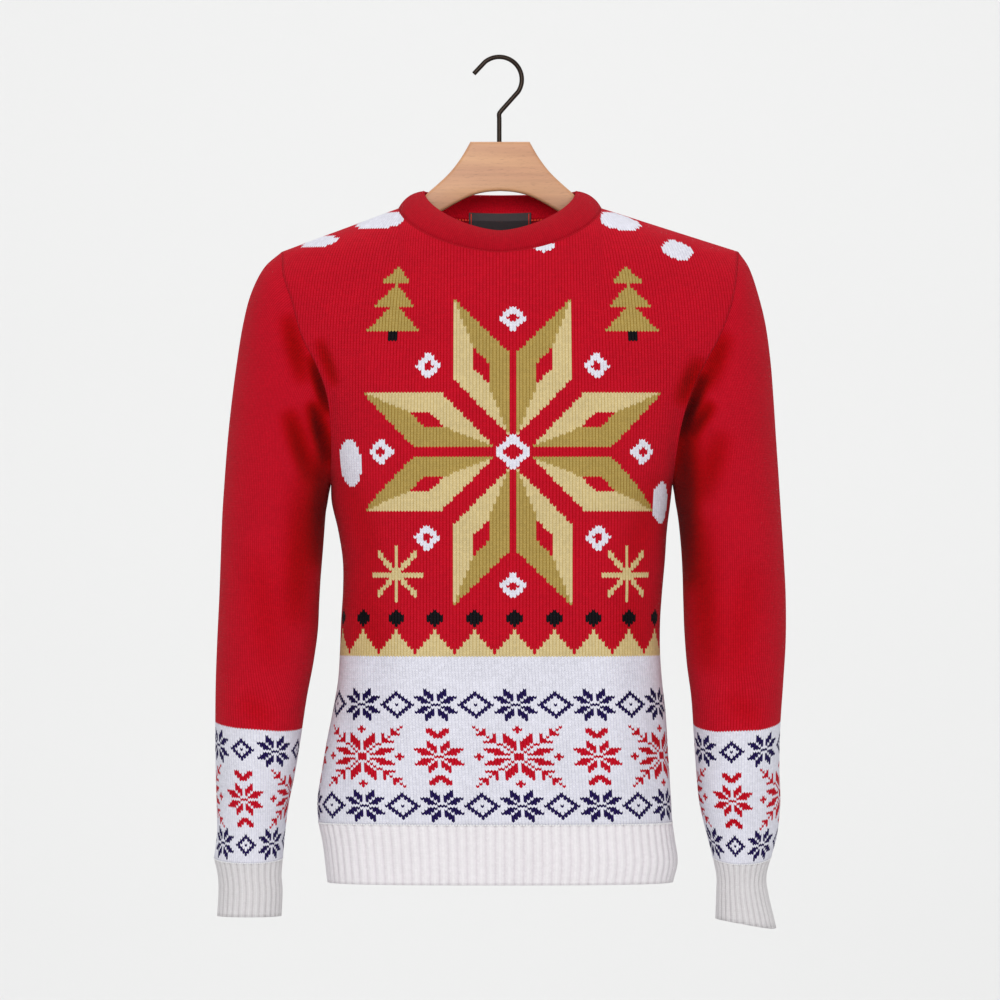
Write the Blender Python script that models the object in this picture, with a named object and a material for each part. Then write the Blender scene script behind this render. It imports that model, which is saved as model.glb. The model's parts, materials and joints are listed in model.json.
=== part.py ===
"""Christmas sweater, filled out as if worn, on a wooden hanger with a wire hook.

Metres, +Z up. +X is the wearer's left and -Y the front. The origin is where the
hook hangs on its rail, at the inner top of the hook. Heights in the tables are
drops: millimetres below that point. Each knitted piece is a wall between an
outer and an inner sheet of points, worked out from the sizes below.
"""

import math

import bmesh
import bpy
import numpy as np
from mathutils import Matrix, Vector

MM = 0.001

# ---- cloth and seams -------------------------------------------------------
JERSEY = 2.0 * MM          # wall of the fine jersey
RIB_GROOVE = 2.0 * MM      # wall of hem and cuffs in a groove
RIB_RAISE = 1.0 * MM       # height of a rib over its groove
BAND_WALL = 3.0 * MM       # doubled neckband
BAND_RAISE = 0.4 * MM      # height of the band's fine ribs
BAND_PROUD = 0.6 * MM      # how far the band stands over the panel at its seam
BAND_LIFT = 0.5 * MM       # from the seam line to the band along the band
SEAM_GAP = 0.3 * MM

HEM_RIBS = 48              # on each half of the hem
CUFF_RIBS = 28
BAND_RIBS_A_STEP = 6       # fine ribs between two columns of the panel

# ---- body ------------------------------------------------------------------
NECK_X = 95.0              # half width of the neck opening at the seam
NECK_DROP = 140.0          # neck point, where shoulder and neck seams meet
TIP_DROP = 181.0           # shoulder tip, top of the armhole
UNDERARM_DROP = 400.0
HEM_SEAM_DROP = 717.0
FRONT_NECK_DROP = 183.0
BACK_NECK_DROP = 149.5
NECK_ROUND = 1.7           # roundness of the neck curve, 2 is an ellipse
ARMHOLE_DEPTH = 54.0       # half of the armhole, front to back
ARMHOLE_ROUND = 2.2

RIGHT, LEFT = 1, 2         # columns of the next two tables
ARMHOLE = (
    # drop, right, left
    (181.0, 205.0, 224.0),
    (204.0, 203.0, 222.0),
    (226.0, 195.5, 218.0),
    (262.0, 185.0, 205.0),
    (290.0, 171.0, 190.0),
    (312.0, 163.0, 180.0),
    (339.0, 158.5, 171.0),
    (367.0, 158.0, 165.5),
    (400.0, 159.0, 162.0),
)
SIDES = (
    # drop, right, left
    (400.0, 159.0, 162.0),
    (414.0, 158.5, 160.5),
    (442.0, 152.3, 157.0),
    (471.0, 147.8, 155.0),
    (499.0, 147.6, 152.5),
    (527.0, 149.3, 150.6),
    (555.0, 150.4, 150.4),
    (584.0, 152.3, 152.3),
    (612.0, 157.0, 155.5),
    (640.0, 162.6, 157.3),
    (668.0, 167.3, 159.0),
    (696.0, 171.5, 160.7),
    (717.0, 170.5, 162.0),
    (734.0, 167.0, 164.5),
    (753.0, 164.5, 167.0),
    (773.0, 162.5, 163.0),
)
FRONT, BACK = 1, 2
DEPTHS = (
    # drop, front, back, squareness
    (140.0, 50.0, 44.0, 2.0),
    (160.0, 62.0, 56.0, 2.0),
    (181.0, 70.0, 68.0, 2.0),
    (220.0, 82.0, 79.0, 2.1),
    (270.0, 92.0, 87.0, 2.2),
    (330.0, 97.0, 90.0, 2.4),
    (400.0, 97.0, 89.0, 2.6),
    (470.0, 92.0, 84.0, 2.6),
    (520.0, 88.0, 81.0, 2.6),
    (580.0, 86.0, 81.0, 2.7),
    (650.0, 87.0, 83.0, 2.8),
    (717.0, 84.0, 81.0, 2.8),
    (773.0, 82.0, 79.0, 2.8),
)
HEM_ROWS = (717.0, 745.0, 773.0)

# ---- sleeves, from the armhole to the cuff ---------------------------------
SLEEVES = {
    "right": (
        # over the arm: x, drop; under the arm: x, drop; half depth
        (205.0, 181.0, 159.0, 400.0, 54.0),
        (221.8, 196.2, 159.6, 404.0, 57.0),
        (234.1, 220.6, 160.7, 410.0, 59.0),
        (241.6, 249.8, 161.7, 417.0, 59.5),
        (247.2, 284.5, 163.1, 425.0, 59.5),
        (251.9, 320.3, 164.0, 435.0, 59.0),
        (255.7, 356.0, 165.0, 449.0, 58.0),
        (258.5, 391.7, 166.4, 467.0, 57.0),
        (260.9, 428.4, 168.3, 487.6, 56.0),
        (262.3, 466.0, 169.7, 511.1, 55.0),
        (263.7, 505.4, 171.1, 538.3, 53.5),
        (265.6, 545.9, 175.3, 568.4, 51.0),
        (267.0, 586.3, 181.4, 600.4, 48.0),
        (267.4, 627.6, 186.6, 635.2, 45.0),
        (267.0, 666.2, 192.2, 669.9, 42.0),
        (266.0, 699.0, 198.3, 700.0, 38.5),
        (265.6, 726.3, 201.6, 726.3, 35.5),
        (268.4, 750.0, 203.7, 750.0, 33.5),
    ),
    "left": (
        (224.0, 181.0, 162.0, 400.0, 54.0),
        (234.1, 196.2, 162.6, 404.0, 57.0),
        (242.5, 220.6, 163.6, 410.0, 59.0),
        (249.6, 249.8, 164.5, 417.0, 59.5),
        (254.3, 284.5, 165.9, 425.0, 59.5),
        (257.1, 320.3, 167.3, 435.0, 59.0),
        (259.4, 356.0, 168.7, 449.0, 58.0),
        (261.8, 391.7, 170.1, 467.0, 57.0),
        (264.1, 428.4, 171.1, 487.6, 56.0),
        (266.5, 466.0, 172.0, 511.1, 55.0),
        (268.4, 505.4, 173.0, 538.3, 53.5),
        (268.4, 545.9, 175.3, 568.4, 51.0),
        (266.0, 586.3, 179.5, 600.4, 48.0),
        (263.2, 627.6, 181.9, 635.2, 45.0),
        (262.3, 666.2, 184.2, 669.9, 42.0),
        (263.2, 696.3, 187.1, 699.0, 38.5),
        (260.4, 726.3, 193.6, 726.3, 34.0),
        (254.7, 748.0, 199.3, 748.0, 30.0),
    ),
}
CUFFS = {
    "right": (
        # drop outside, drop inside, x outside, x inside, half depth
        (750.0, 750.0, 268.4, 203.7, 33.5),
        (766.0, 766.0, 265.0, 205.0, 31.5),
        (781.0, 781.0, 264.2, 204.0, 31.0),
        (804.5, 804.5, 265.5, 205.0, 31.5),
    ),
    "left": (
        (748.0, 748.0, 254.7, 199.3, 30.0),
        (766.0, 766.0, 250.2, 203.0, 27.0),
        (782.0, 781.0, 251.5, 203.0, 27.5),
        (816.0, 807.0, 259.4, 202.1, 30.5),
    ),
}
CAP_ROWS = 4               # sleeve rows that still take the armhole's own curve
SLEEVE_FORWARD = 12.0      # how far the cuffs hang in front of the shoulders

# ---- the largest folds: soft troughs, or ridges where the depth is negative -
PANEL_FOLDS = {
    # from x, drop; to x, drop; reach to each side; depth
    "front": (
        (-146.0, 395.0, -118.0, 470.0, 15.0, 3.5),
        (-128.0, 480.0, -112.0, 640.0, 20.0, 3.0),
        (148.0, 400.0, 122.0, 480.0, 15.0, 3.5),
        (124.0, 500.0, 128.0, 650.0, 20.0, 2.5),
        (-60.0, 560.0, 30.0, 600.0, 26.0, 2.0),
    ),
    "back": (
        (-148.0, 398.0, -110.0, 465.0, 16.0, 4.0),
        (147.0, 396.0, 116.0, 480.0, 15.0, 3.5),
        (-70.0, 500.0, 40.0, 560.0, 26.0, 3.0),
        (60.0, 540.0, -20.0, 610.0, 24.0, 2.0),
        (-118.0, 520.0, -126.0, 650.0, 20.0, 3.0),
    ),
}
SLEEVE_FOLDS = {
    # from degrees round the arm, distance along it; to the same; reach; depth
    "right": (
        (112.0, 16.0, 22.0, 30.0, 16.0, 6.5),
        (100.0, 46.0, 30.0, 66.0, 14.0, -3.0),
        (88.0, 74.0, 20.0, 96.0, 16.0, 4.5),
        (248.0, 18.0, 338.0, 32.0, 16.0, 6.0),
        (268.0, 74.0, 335.0, 100.0, 18.0, 4.0),
        (60.0, 300.0, 120.0, 330.0, 20.0, 2.5),
        (300.0, 290.0, 230.0, 335.0, 20.0, 3.0),
        (20.0, 470.0, 100.0, 492.0, 16.0, 2.5),
    ),
    "left": (
        (108.0, 15.0, 20.0, 28.0, 16.0, 7.0),
        (96.0, 44.0, 28.0, 64.0, 14.0, -3.0),
        (80.0, 76.0, 18.0, 98.0, 18.0, 4.0),
        (250.0, 17.0, 340.0, 30.0, 16.0, 6.0),
        (262.0, 70.0, 330.0, 96.0, 16.0, 4.5),
        (70.0, 310.0, 128.0, 336.0, 20.0, 2.5),
        (290.0, 300.0, 238.0, 330.0, 20.0, 2.5),
        (150.0, 480.0, 60.0, 500.0, 16.0, 3.0),
    ),
}

# ---- neckband --------------------------------------------------------------
BAND_TOP_X = 72.5          # half width of the opening at the band's top edge
BAND_TOP_FRONT = 55.0      # front reach of that edge
BAND_TOP_BACK = 46.0
BAND_SIDE_DROP = 124.0
BAND_FRONT_DROP = 163.0
BAND_BACK_DROP = 127.5
BAND_TOP_ROUND = 1.6
BAND_BULGE = 3.5 * MM

# ---- neck label ------------------------------------------------------------
LABEL_WIDTH = 59.0 * MM
LABEL_THICK = 0.8 * MM
LABEL_GAP = 0.7 * MM
LABEL_RISE = 0.62          # share of the band's lower half that it covers
LABEL_DROPS = (157.0, 167.0)

# ---- hanger ----------------------------------------------------------------
WOOD_THICK = 12.0 * MM
WOOD_EDGE = 3.0 * MM
HANGER_NECK = (
    # x, drop: crown, hollow side, and down to where the shoulder begins
    (27.8, 77.7),
    (34.5, 89.5),
    (40.6, 98.5),
    (47.5, 107.0),
    (56.8, 116.0),
    (66.3, 124.3),
    (72.5, 130.2),
    (80.0, 136.6),
    (90.0, 143.2),
    (100.0, 146.8),
)
HANGER_SHOULDERS = (112.0, 180.0)
HANGER_TIP_X = 190.0
HANGER_TIP_ROUND = 9.0
HANGER_UNDER = (
    (170.0, 190.5),
    (130.0, 177.0),
    (96.0, 163.6),
    (75.0, 153.6),
    (57.0, 144.3),
    (40.0, 134.5),
    (26.0, 127.9),
    (13.0, 124.8),
    (0.0, 123.8),
)
HANGER_SEAT = 1.0          # the wood's ridge under the inside of the shoulder seam
WIRE = 4.4 * MM
HOOK_RADIUS = 21.2 * MM    # to the middle of the wire
HOOK_TIP = (-24.7, 13.8)    # x, drop: the free end, past the arc
HOOK_ARC_DEG = (130.0, -34.0)
KINK_DROP = 50.5
STEM_X = -0.7
STEM_INTO_WOOD = 14.0 * MM

# ---- mesh ------------------------------------------------------------------
LOW_ROWS = 9
ARM_ROWS = 10
HALF_COLUMNS = 12
NECK_COLUMNS = 6           # of the half's columns, how many end at the neck


# ---- curves and tables -----------------------------------------------------
def along(table, column, where):
    """Smooth value of a table's column at places in its first column."""
    rows = np.array(table)
    places, values = rows[:, 0], rows[:, column]
    slopes = np.gradient(values, places)
    i = np.clip(np.searchsorted(places, where) - 1, 0, len(places) - 2)
    step = places[i + 1] - places[i]
    t = np.clip((where - places[i]) / step, 0.0, 1.0)
    rise = t * t * (3 - 2 * t)
    return (
        values[i] * (1 - rise)
        + values[i + 1] * rise
        + slopes[i] * step * t * (1 - t) ** 2
        - slopes[i + 1] * step * t * t * (1 - t)
    )


def even_steps(points, count):
    """Places, as shares of the list, that cut a run of points in equal lengths."""
    lengths = np.linalg.norm(np.diff(points, axis=0), axis=1)
    travelled = np.concatenate([[0.0], np.cumsum(lengths)])
    shares = np.linspace(0.0, 1.0, len(points))
    return np.interp(np.linspace(0.0, travelled[-1], count + 1), travelled, shares)


def mix(a, b, t):
    return a + (b - a) * t


def arch(share, roundness):
    """Falls from 1 in the middle to 0 at a share of 1."""
    return (1 - np.clip(share, 0, 1) ** roundness) ** (1 / roundness)


def unit(vectors):
    return vectors / np.maximum(np.linalg.norm(vectors, axis=-1, keepdims=True), 1e-12)


# ---- the body's form -------------------------------------------------------
def half_width(side, drop):
    """From the middle to the shoulder seam, the armhole or the side seam."""
    tip = ARMHOLE[0][side]
    shoulder = NECK_X + (tip - NECK_X) * (drop - NECK_DROP) / (TIP_DROP - NECK_DROP)
    above = np.where(drop < TIP_DROP, shoulder, along(ARMHOLE, side, drop))
    return np.where(drop < UNDERARM_DROP, above, along(SIDES, side, drop))


def armhole_reach(drop):
    """How far the armhole's edge stands in front of and behind the shoulder."""
    share = (drop - TIP_DROP) / (UNDERARM_DROP - TIP_DROP)
    return ARMHOLE_DEPTH * arch(np.abs(2 * share - 1), ARMHOLE_ROUND)


def body_depth(face, side, x, drop):
    """Distance of the body's outer face from the plane of its side seams.

    Each level section is a squared oval, so wide that it passes through the
    armhole's edge, or through the shoulder or side seam above and below it.
    """
    square = along(DEPTHS, 3, drop)
    middle = along(DEPTHS, face, drop)
    edge = half_width(side, drop)
    oval = edge / arch(armhole_reach(drop) / middle, square)
    return middle * arch(x / oval, square)


def even_columns(face, side, drop, count):
    """Shares of the half width that cut a level section in equal lengths."""
    fine = np.sin(np.linspace(0.0, math.pi / 2, 400))
    x = fine * half_width(side, drop)
    section = np.stack([x, body_depth(face, side, x, drop)], axis=1)
    return np.interp(even_steps(section, count), np.linspace(0, 1, 400), fine)


def top_edge(face, side):
    """x and drop of the columns' upper ends: neck curve, then shoulder seam."""
    lowest = FRONT_NECK_DROP if face == FRONT else BACK_NECK_DROP
    x = NECK_X * np.sin(np.linspace(0.0, math.pi / 2, 400))
    drop = NECK_DROP + (lowest - NECK_DROP) * arch(x / NECK_X, NECK_ROUND)
    edge = np.stack([x, body_depth(face, side, x, drop), drop], axis=1)
    places = even_steps(edge, NECK_COLUMNS)
    shares = np.linspace(0, 1, 400)
    neck = np.interp(places, shares, x), np.interp(places, shares, drop)
    seam = np.linspace(0, 1, HALF_COLUMNS - NECK_COLUMNS + 1)[1:]
    tip = ARMHOLE[0][side]
    return (
        np.concatenate([neck[0], mix(NECK_X, tip, seam)]),
        np.concatenate([neck[1], mix(NECK_DROP, TIP_DROP, seam)]),
    )


def half_panel(face, side):
    """Outer points of half a panel, from the hem seam up, middle to edge."""
    low = even_columns(face, side, UNDERARM_DROP, HALF_COLUMNS)
    top_x, top_drop = top_edge(face, side)
    top = top_x / top_x[-1]
    x, drop = [], []
    for level in np.linspace(HEM_SEAM_DROP, UNDERARM_DROP, LOW_ROWS + 1)[:-1]:
        x.append(low * half_width(side, level))
        drop.append(np.full(len(low), level))
    for step in range(ARM_ROWS + 1):
        up = (1 - math.cos(math.pi * step / ARM_ROWS)) / 2
        share = mix(low, top, up * up * (3 - 2 * up))
        x.append(share * half_width(side, mix(UNDERARM_DROP, TIP_DROP, up)))
        drop.append(mix(UNDERARM_DROP, top_drop, up))
    x, drop = np.array(x), np.array(drop)
    y = body_depth(face, side, x, drop) * (-1 if face == FRONT else 1)
    return np.stack([x * (-1 if side == RIGHT else 1), y, -drop], axis=-1) * MM


def panel(face):
    """Outer points of a whole panel, rows from the hem up, columns towards +X."""
    right, left = half_panel(face, RIGHT), half_panel(face, LEFT)
    return np.concatenate([right[:, :0:-1], left], axis=1)


# ---- sleeves, cuffs and hem ------------------------------------------------
def ring(over, under, half_depth, forward, angles):
    """An oval section between a point over the arm and one under it."""
    over, under = np.array(over), np.array(under)
    middle, reach = (over + under) / 2, (under - over) / 2
    x = middle[0] + reach[0] * np.cos(angles)
    drop = middle[1] + reach[1] * np.cos(angles)
    y = -half_depth * np.sin(angles) - forward
    return np.stack([x, y, -drop], axis=-1)


def sleeve(name, armhole):
    """Outer points of a sleeve: rings from the armhole's edge to the cuff."""
    table = SLEEVES[name]
    sign = -1 if name == "right" else 1
    angles = np.linspace(0, 2 * math.pi, 2 * ARM_ROWS, endpoint=False)
    rings = []
    for row, (over_x, over_drop, under_x, under_drop, depth) in enumerate(table):
        forward = SLEEVE_FORWARD * (row / (len(table) - 1)) ** 1.5
        rings.append(ring((over_x, over_drop), (under_x, under_drop), depth, forward, angles))
    rings = np.array(rings) * MM
    rings[..., 0] *= sign
    own_curve = armhole - rings[0]
    for row in range(CAP_ROWS):
        rings[row] += own_curve * (1 - row / CAP_ROWS) ** 2
    return rings


def armhole_loop(front, back, edge):
    """The armhole's edge from the underarm up the front and down the back."""
    return np.concatenate([front[LOW_ROWS:, edge], back[-2:LOW_ROWS:-1, edge]])


def cuff(name):
    angles = np.linspace(0, 2 * math.pi, 2 * CUFF_RIBS, endpoint=False)
    rings = [
        ring((out_x, out_drop), (in_x, in_drop), depth, SLEEVE_FORWARD, angles)
        for out_drop, in_drop, out_x, in_x, depth in CUFFS[name]
    ]
    rings = np.array(rings) * MM
    rings[..., 0] *= -1 if name == "right" else 1
    return rings


def hem(face):
    """Outer points of half of the hem's rib, rows from the bottom up."""
    rows = []
    for drop in reversed(HEM_ROWS):
        halves = []
        for side, sign in ((RIGHT, -1), (LEFT, 1)):
            share = even_columns(face, side, drop, HEM_RIBS)
            x = share * half_width(side, drop)
            y = body_depth(face, side, x, drop) * (-1 if face == FRONT else 1)
            halves.append(np.stack([x * sign, y, np.full(len(x), -drop)], axis=-1))
        rows.append(np.concatenate([halves[0][:0:-1], halves[1]]))
    return np.array(rows) * MM


def fold(points, directions, chart, table, around):
    """Presses soft troughs into a sheet, laid out on its own flat chart."""
    sunk = np.zeros(points.shape[:2])
    for u0, v0, u1, v1, reach, depth in table:
        start, run = np.array([u0, v0]), np.array([u1 - u0, v1 - v0])
        share = ((chart - start) @ run) / (run @ run)
        nearest = start + np.clip(share, 0, 1)[..., None] * run
        away = np.linalg.norm(chart - nearest, axis=-1) / reach
        ends = np.sin(math.pi * np.clip(mix(0.12, 0.88, share), 0, 1))
        sunk += depth * MM * np.exp(-(away**2)) * ends
    sunk[[0, -1]] = 0
    if not around:
        sunk[:, [0, -1]] = 0
    points -= directions * sunk[..., None]


def panel_chart(points):
    return np.stack([points[..., 0], -points[..., 2]], axis=-1) / MM


def sleeve_chart(points):
    """Degrees round the arm from underneath, and millimetres along it."""
    centres = points.mean(axis=1)
    steps = np.linalg.norm(np.diff(centres, axis=0), axis=1)
    down = np.concatenate([[0.0], np.cumsum(steps)]) / MM
    degrees = np.arange(points.shape[1]) * 360.0 / points.shape[1]
    return np.stack(np.meshgrid(degrees, down), axis=-1)


# ---- normals, seams and walls ----------------------------------------------
def normals(points, around, outward):
    """Directions square to a sheet; outward is 1 or -1."""
    if around:
        across = np.roll(points, -1, axis=1) - np.roll(points, 1, axis=1)
    else:
        across = np.gradient(points, axis=1)
    along_rows = np.gradient(points, axis=0)
    return unit(np.cross(across, along_rows)) * outward


def edge_points(points, around):
    """A sheet's edge points, each with the direction from it into the sheet."""
    found = {}
    for end, inner in ((0, 1), (-1, -2)):
        for column in range(points.shape[1]):
            step = unit(points[inner, column] - points[end, column])
            found[end % points.shape[0], column] = step
    if not around:
        for end, inner in ((0, 1), (-1, -2)):
            for row in range(points.shape[0]):
                step = unit(points[row, inner] - points[row, end])
                place = row, end % points.shape[1]
                found[place] = unit(found[place] + step) if place in found else step
    return found


def part_seams(sheets):
    """Sheets that meet share one direction at the seam and draw apart there."""
    meeting = {}
    for number, (points, _, around) in enumerate(sheets):
        for place, into in edge_points(points, around).items():
            key = tuple(np.round(points[place] / (0.01 * MM)).astype(int))
            meeting.setdefault(key, []).append((number, place, into))
    for members in meeting.values():
        flat = max(1, sum(not sheets[number][2] for number, _, _ in members))
        common = 0
        for number, place, _ in members:
            common = common + sheets[number][1][place] * (flat if sheets[number][2] else 1)
        common = unit(common)
        for number, place, into in members:
            others = [other for n, _, other in members if n != number]
            away = into - (sum(others) / len(others) if others else 0)
            away = unit(away - common * (common @ away))
            sheets[number][0][place] += away * SEAM_GAP / 2
            sheets[number][1][place] = common


def level(points, directions, row, drop):
    """A level seam: the wall's edge is level and half a gap from the seam."""
    above = points[row, :, 2].mean() < points[row - 1 if row else 1, :, 2].mean()
    points[row, :, 2] = -drop * MM + (SEAM_GAP if above else -SEAM_GAP) / 2
    directions[row, :, 2] = 0
    directions[row] = unit(directions[row])


def split_rim(face, outside):
    """Cuts an edge face from its lower outer corner, so that both sides of a seam match."""
    corners = list(face.verts)
    low = min((v for v in corners if v in outside), key=lambda v: round(v.co.z, 5))
    opposite = corners[(corners.index(low) + 2) % 4]
    bmesh.utils.face_split(face, low, opposite)


def wall(name, outer, inner, around, colour, roughness=0.9):
    """A closed solid between two sheets of points, rolled shut if around."""
    rows, columns = outer.shape[:2]
    mesh = bmesh.new()
    spans = columns if around else columns - 1
    bmesh.ops.create_grid(mesh, x_segments=spans, y_segments=rows - 1, size=0.5)
    row_of = mesh.verts.layers.int.new("row")
    column_of = mesh.verts.layers.int.new("column")
    for vert in mesh.verts:
        vert[row_of] = round((vert.co.y + 0.5) * (rows - 1))
        vert[column_of] = round((vert.co.x + 0.5) * spans) % columns
        vert.co = outer[vert[row_of], vert[column_of]]
    if around:
        bmesh.ops.remove_doubles(mesh, verts=mesh.verts, dist=1e-7)
    kept = set(mesh.verts)
    pulled = bmesh.ops.extrude_face_region(mesh, geom=mesh.faces[:], use_keep_orig=True)
    for item in pulled["geom"]:
        if isinstance(item, bmesh.types.BMVert):
            item.co = inner[item[row_of], item[column_of]]
    for face in [f for f in mesh.faces if 0 < sum(v in kept for v in f.verts) < 4]:
        split_rim(face, kept)
    bmesh.ops.recalc_face_normals(mesh, faces=mesh.faces)
    return add_object(name, mesh, colour, roughness)


def ribbed(points, directions, raise_by):
    """Every second column sinks by the height of a rib."""
    sunk = points.copy()
    sunk[:, 1::2] -= directions[:, 1::2] * raise_by
    return sunk


# ---- objects and materials -------------------------------------------------
def finish(colour_name, colour, roughness, metallic=0.0):
    material = bpy.data.materials.new(colour_name)
    material.use_nodes = True
    shader = material.node_tree.nodes["Principled BSDF"]
    shader.inputs["Base Color"].default_value = (*colour, 1.0)
    shader.inputs["Roughness"].default_value = roughness
    shader.inputs["Metallic"].default_value = metallic
    return material


def add_object(name, mesh, colour, roughness=0.9, metallic=0.0, collection=None):
    data = bpy.data.meshes.new(name)
    mesh.to_mesh(data)
    mesh.free()
    made = bpy.data.objects.new(name, data)
    (collection or sweater).objects.link(made)
    data.materials.append(finish(name, colour, roughness, metallic))
    return made


RED = (0.42, 0.008, 0.02)
WHITE = (0.80, 0.80, 0.82)
CHARCOAL = (0.03, 0.03, 0.035)
BEECH = (0.74, 0.45, 0.25)
BLACK = (0.02, 0.02, 0.02)


def face_out(front, back, sleeves):
    return {
        "front": normals(front, False, 1),
        "back": normals(back, False, -1),
        "right": normals(sleeves["right"], True, 1),
        "left": normals(sleeves["left"], True, -1),
    }


def build_cloth():
    front, back = panel(FRONT), panel(BACK)
    sleeves = {
        "right": sleeve("right", armhole_loop(front, back, 0)),
        "left": sleeve("left", armhole_loop(front, back, -1)),
    }
    facing = face_out(front, back, sleeves)
    for name, points in (("front", front), ("back", back)):
        fold(points, facing[name], panel_chart(points), PANEL_FOLDS[name], False)
    for name, points in sleeves.items():
        fold(points, facing[name], sleeve_chart(points), SLEEVE_FOLDS[name], True)
    facing = face_out(front, back, sleeves)
    neck = neck_edge(front, back)
    part_seams(
        [
            (front, facing["front"], False),
            (back, facing["back"], False),
            (sleeves["right"], facing["right"], True),
            (sleeves["left"], facing["left"], True),
        ]
    )
    for name, points in (("front", front), ("back", back)):
        level(points, facing[name], 0, HEM_SEAM_DROP)
        inside = points - facing[name] * JERSEY
        wall(name + "_panel", points, inside, False, RED)
    for name, points in sleeves.items():
        level(points, facing[name], -1, SLEEVES[name][-1][1])
        inside = points - facing[name] * JERSEY
        wall("sleeve_" + name, points, inside, True, RED)
        build_cuff(name)
    for name, face in (("front", FRONT), ("back", BACK)):
        build_hem(name, face)
    band = build_neckband(neck, neck_edge(facing["front"], facing["back"]))
    build_label(band)


def build_hem(name, face):
    points = hem(face)
    directions = normals(points, False, 1 if face == FRONT else -1)
    for end, sign in ((0, -1), (-1, 1)):
        directions[:, end] = (sign, 0, 0)
        points[:, end, 1] = SEAM_GAP / 2 * (-1 if face == FRONT else 1)
    level(points, directions, -1, HEM_SEAM_DROP)
    inside = points - directions * (RIB_GROOVE + RIB_RAISE)
    wall("hem_rib_" + name, ribbed(points, directions, RIB_RAISE), inside, False, WHITE)


def build_cuff(name):
    points = cuff(name)
    directions = normals(points, True, 1 if name == "right" else -1)
    level(points, directions, 0, CUFFS[name][0][0])
    inside = points - directions * (RIB_GROOVE + RIB_RAISE)
    wall("cuff_" + name, ribbed(points, directions, RIB_RAISE), inside, True, WHITE)


# ---- neckband and label ----------------------------------------------------
def neck_edge(front, back):
    """Values at the neck's columns, round the front and back along the back."""
    first, last = HALF_COLUMNS - NECK_COLUMNS, HALF_COLUMNS + NECK_COLUMNS
    return np.concatenate([front[-1, first:last], back[-1, last:first:-1]])


def band_top(x, front):
    """The band's upper edge over the point x of the neck seam."""
    share = np.abs(x) / (NECK_X * MM)
    across = np.sign(x) * share * BAND_TOP_X
    reach = np.where(front, -BAND_TOP_FRONT, BAND_TOP_BACK) * arch(share, 2.0)
    lowest = np.where(front, BAND_FRONT_DROP, BAND_BACK_DROP)
    drop = mix(BAND_SIDE_DROP, lowest, arch(share, BAND_TOP_ROUND))
    return np.stack([across, reach, -drop], axis=-1) * MM


def build_neckband(edge, facing):
    steps = 2 * BAND_RIBS_A_STEP
    parts = np.arange(steps) / steps
    ahead, facing_ahead = np.roll(edge, -1, axis=0), np.roll(facing, -1, axis=0)
    seam = mix(edge[:, None], ahead[:, None], parts[None, :, None]).reshape(-1, 3)
    seam_facing = mix(facing[:, None], facing_ahead[:, None], parts[None, :, None])
    seam_facing = unit(seam_facing.reshape(-1, 3))
    top = band_top(seam[:, 0], np.arange(len(seam)) < len(seam) // 2)
    up = unit(top - seam)
    round_the_neck = np.roll(top, -1, axis=0) - np.roll(top, 1, axis=0)
    top_facing = unit(np.cross(round_the_neck, up))
    seam = seam + up * BAND_LIFT
    middle = (seam + top) / 2 + top_facing * BAND_BULGE
    middle_facing = unit(seam_facing + top_facing)
    outer = np.array([seam + seam_facing * BAND_PROUD, middle, top])
    directions = np.array([seam_facing, middle_facing, top_facing])
    thick = np.array([BAND_WALL, BAND_WALL + 0.4 * BAND_BULGE, BAND_WALL])
    inner = outer - directions * thick[:, None, None]
    wall("neckband", ribbed(outer, directions, BAND_RAISE), inner, True, RED)
    return inner


def build_label(band_inside):
    """A woven strip over the back neck seam, made from the points behind it."""
    half = band_inside.shape[1] // 2
    low, high = band_inside[0, half:], band_inside[1, half:]
    x = np.linspace(-LABEL_WIDTH / 2, LABEL_WIDTH / 2, 9)
    rows = []
    for share in (LABEL_RISE, 0.0):
        points = mix(low, high, share)[::-1]
        rows.append([np.interp(x, points[:, 0], points[:, k]) for k in (1, 2)])
    for drop in LABEL_DROPS:
        side = np.where(x < 0, RIGHT, LEFT)
        depth = [body_depth(BACK, s, abs(v) / MM, drop) for s, v in zip(side, x)]
        rows.append([np.array(depth) * MM - JERSEY, np.full(len(x), -drop * MM)])
    against = np.array([np.stack([x, y, z], axis=-1) for y, z in rows])
    directions = normals(against, False, -1)
    against = against + directions * LABEL_GAP
    wall("neck_label", against, against + directions * LABEL_THICK, False, CHARCOAL, 0.8)


# ---- hanger ----------------------------------------------------------------
def shoulder_inside(x):
    """Drop of the cloth's inside along the lower shoulder seam."""
    run = ARMHOLE[0][RIGHT] - NECK_X
    fall = TIP_DROP - NECK_DROP
    wall_below = (JERSEY / MM) * math.hypot(run, fall) / run
    return NECK_DROP + (x - NECK_X) * fall / run + wall_below


def hanger_outline():
    half = list(HANGER_NECK)
    half += [(x, shoulder_inside(x) + HANGER_SEAT) for x in HANGER_SHOULDERS]
    centre = shoulder_inside(HANGER_TIP_X) + HANGER_TIP_ROUND
    for degrees in (60, 20, -20, -60):
        turn = math.radians(degrees)
        x = HANGER_TIP_X - HANGER_TIP_ROUND * (1 - math.cos(turn))
        half.append((x, centre - HANGER_TIP_ROUND * math.sin(turn)))
    half += HANGER_UNDER
    other = [(-x, drop) for x, drop in reversed(half[:-1])]
    return [Vector((x * MM, -drop * MM, 0)) for x, drop in half + other]


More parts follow.
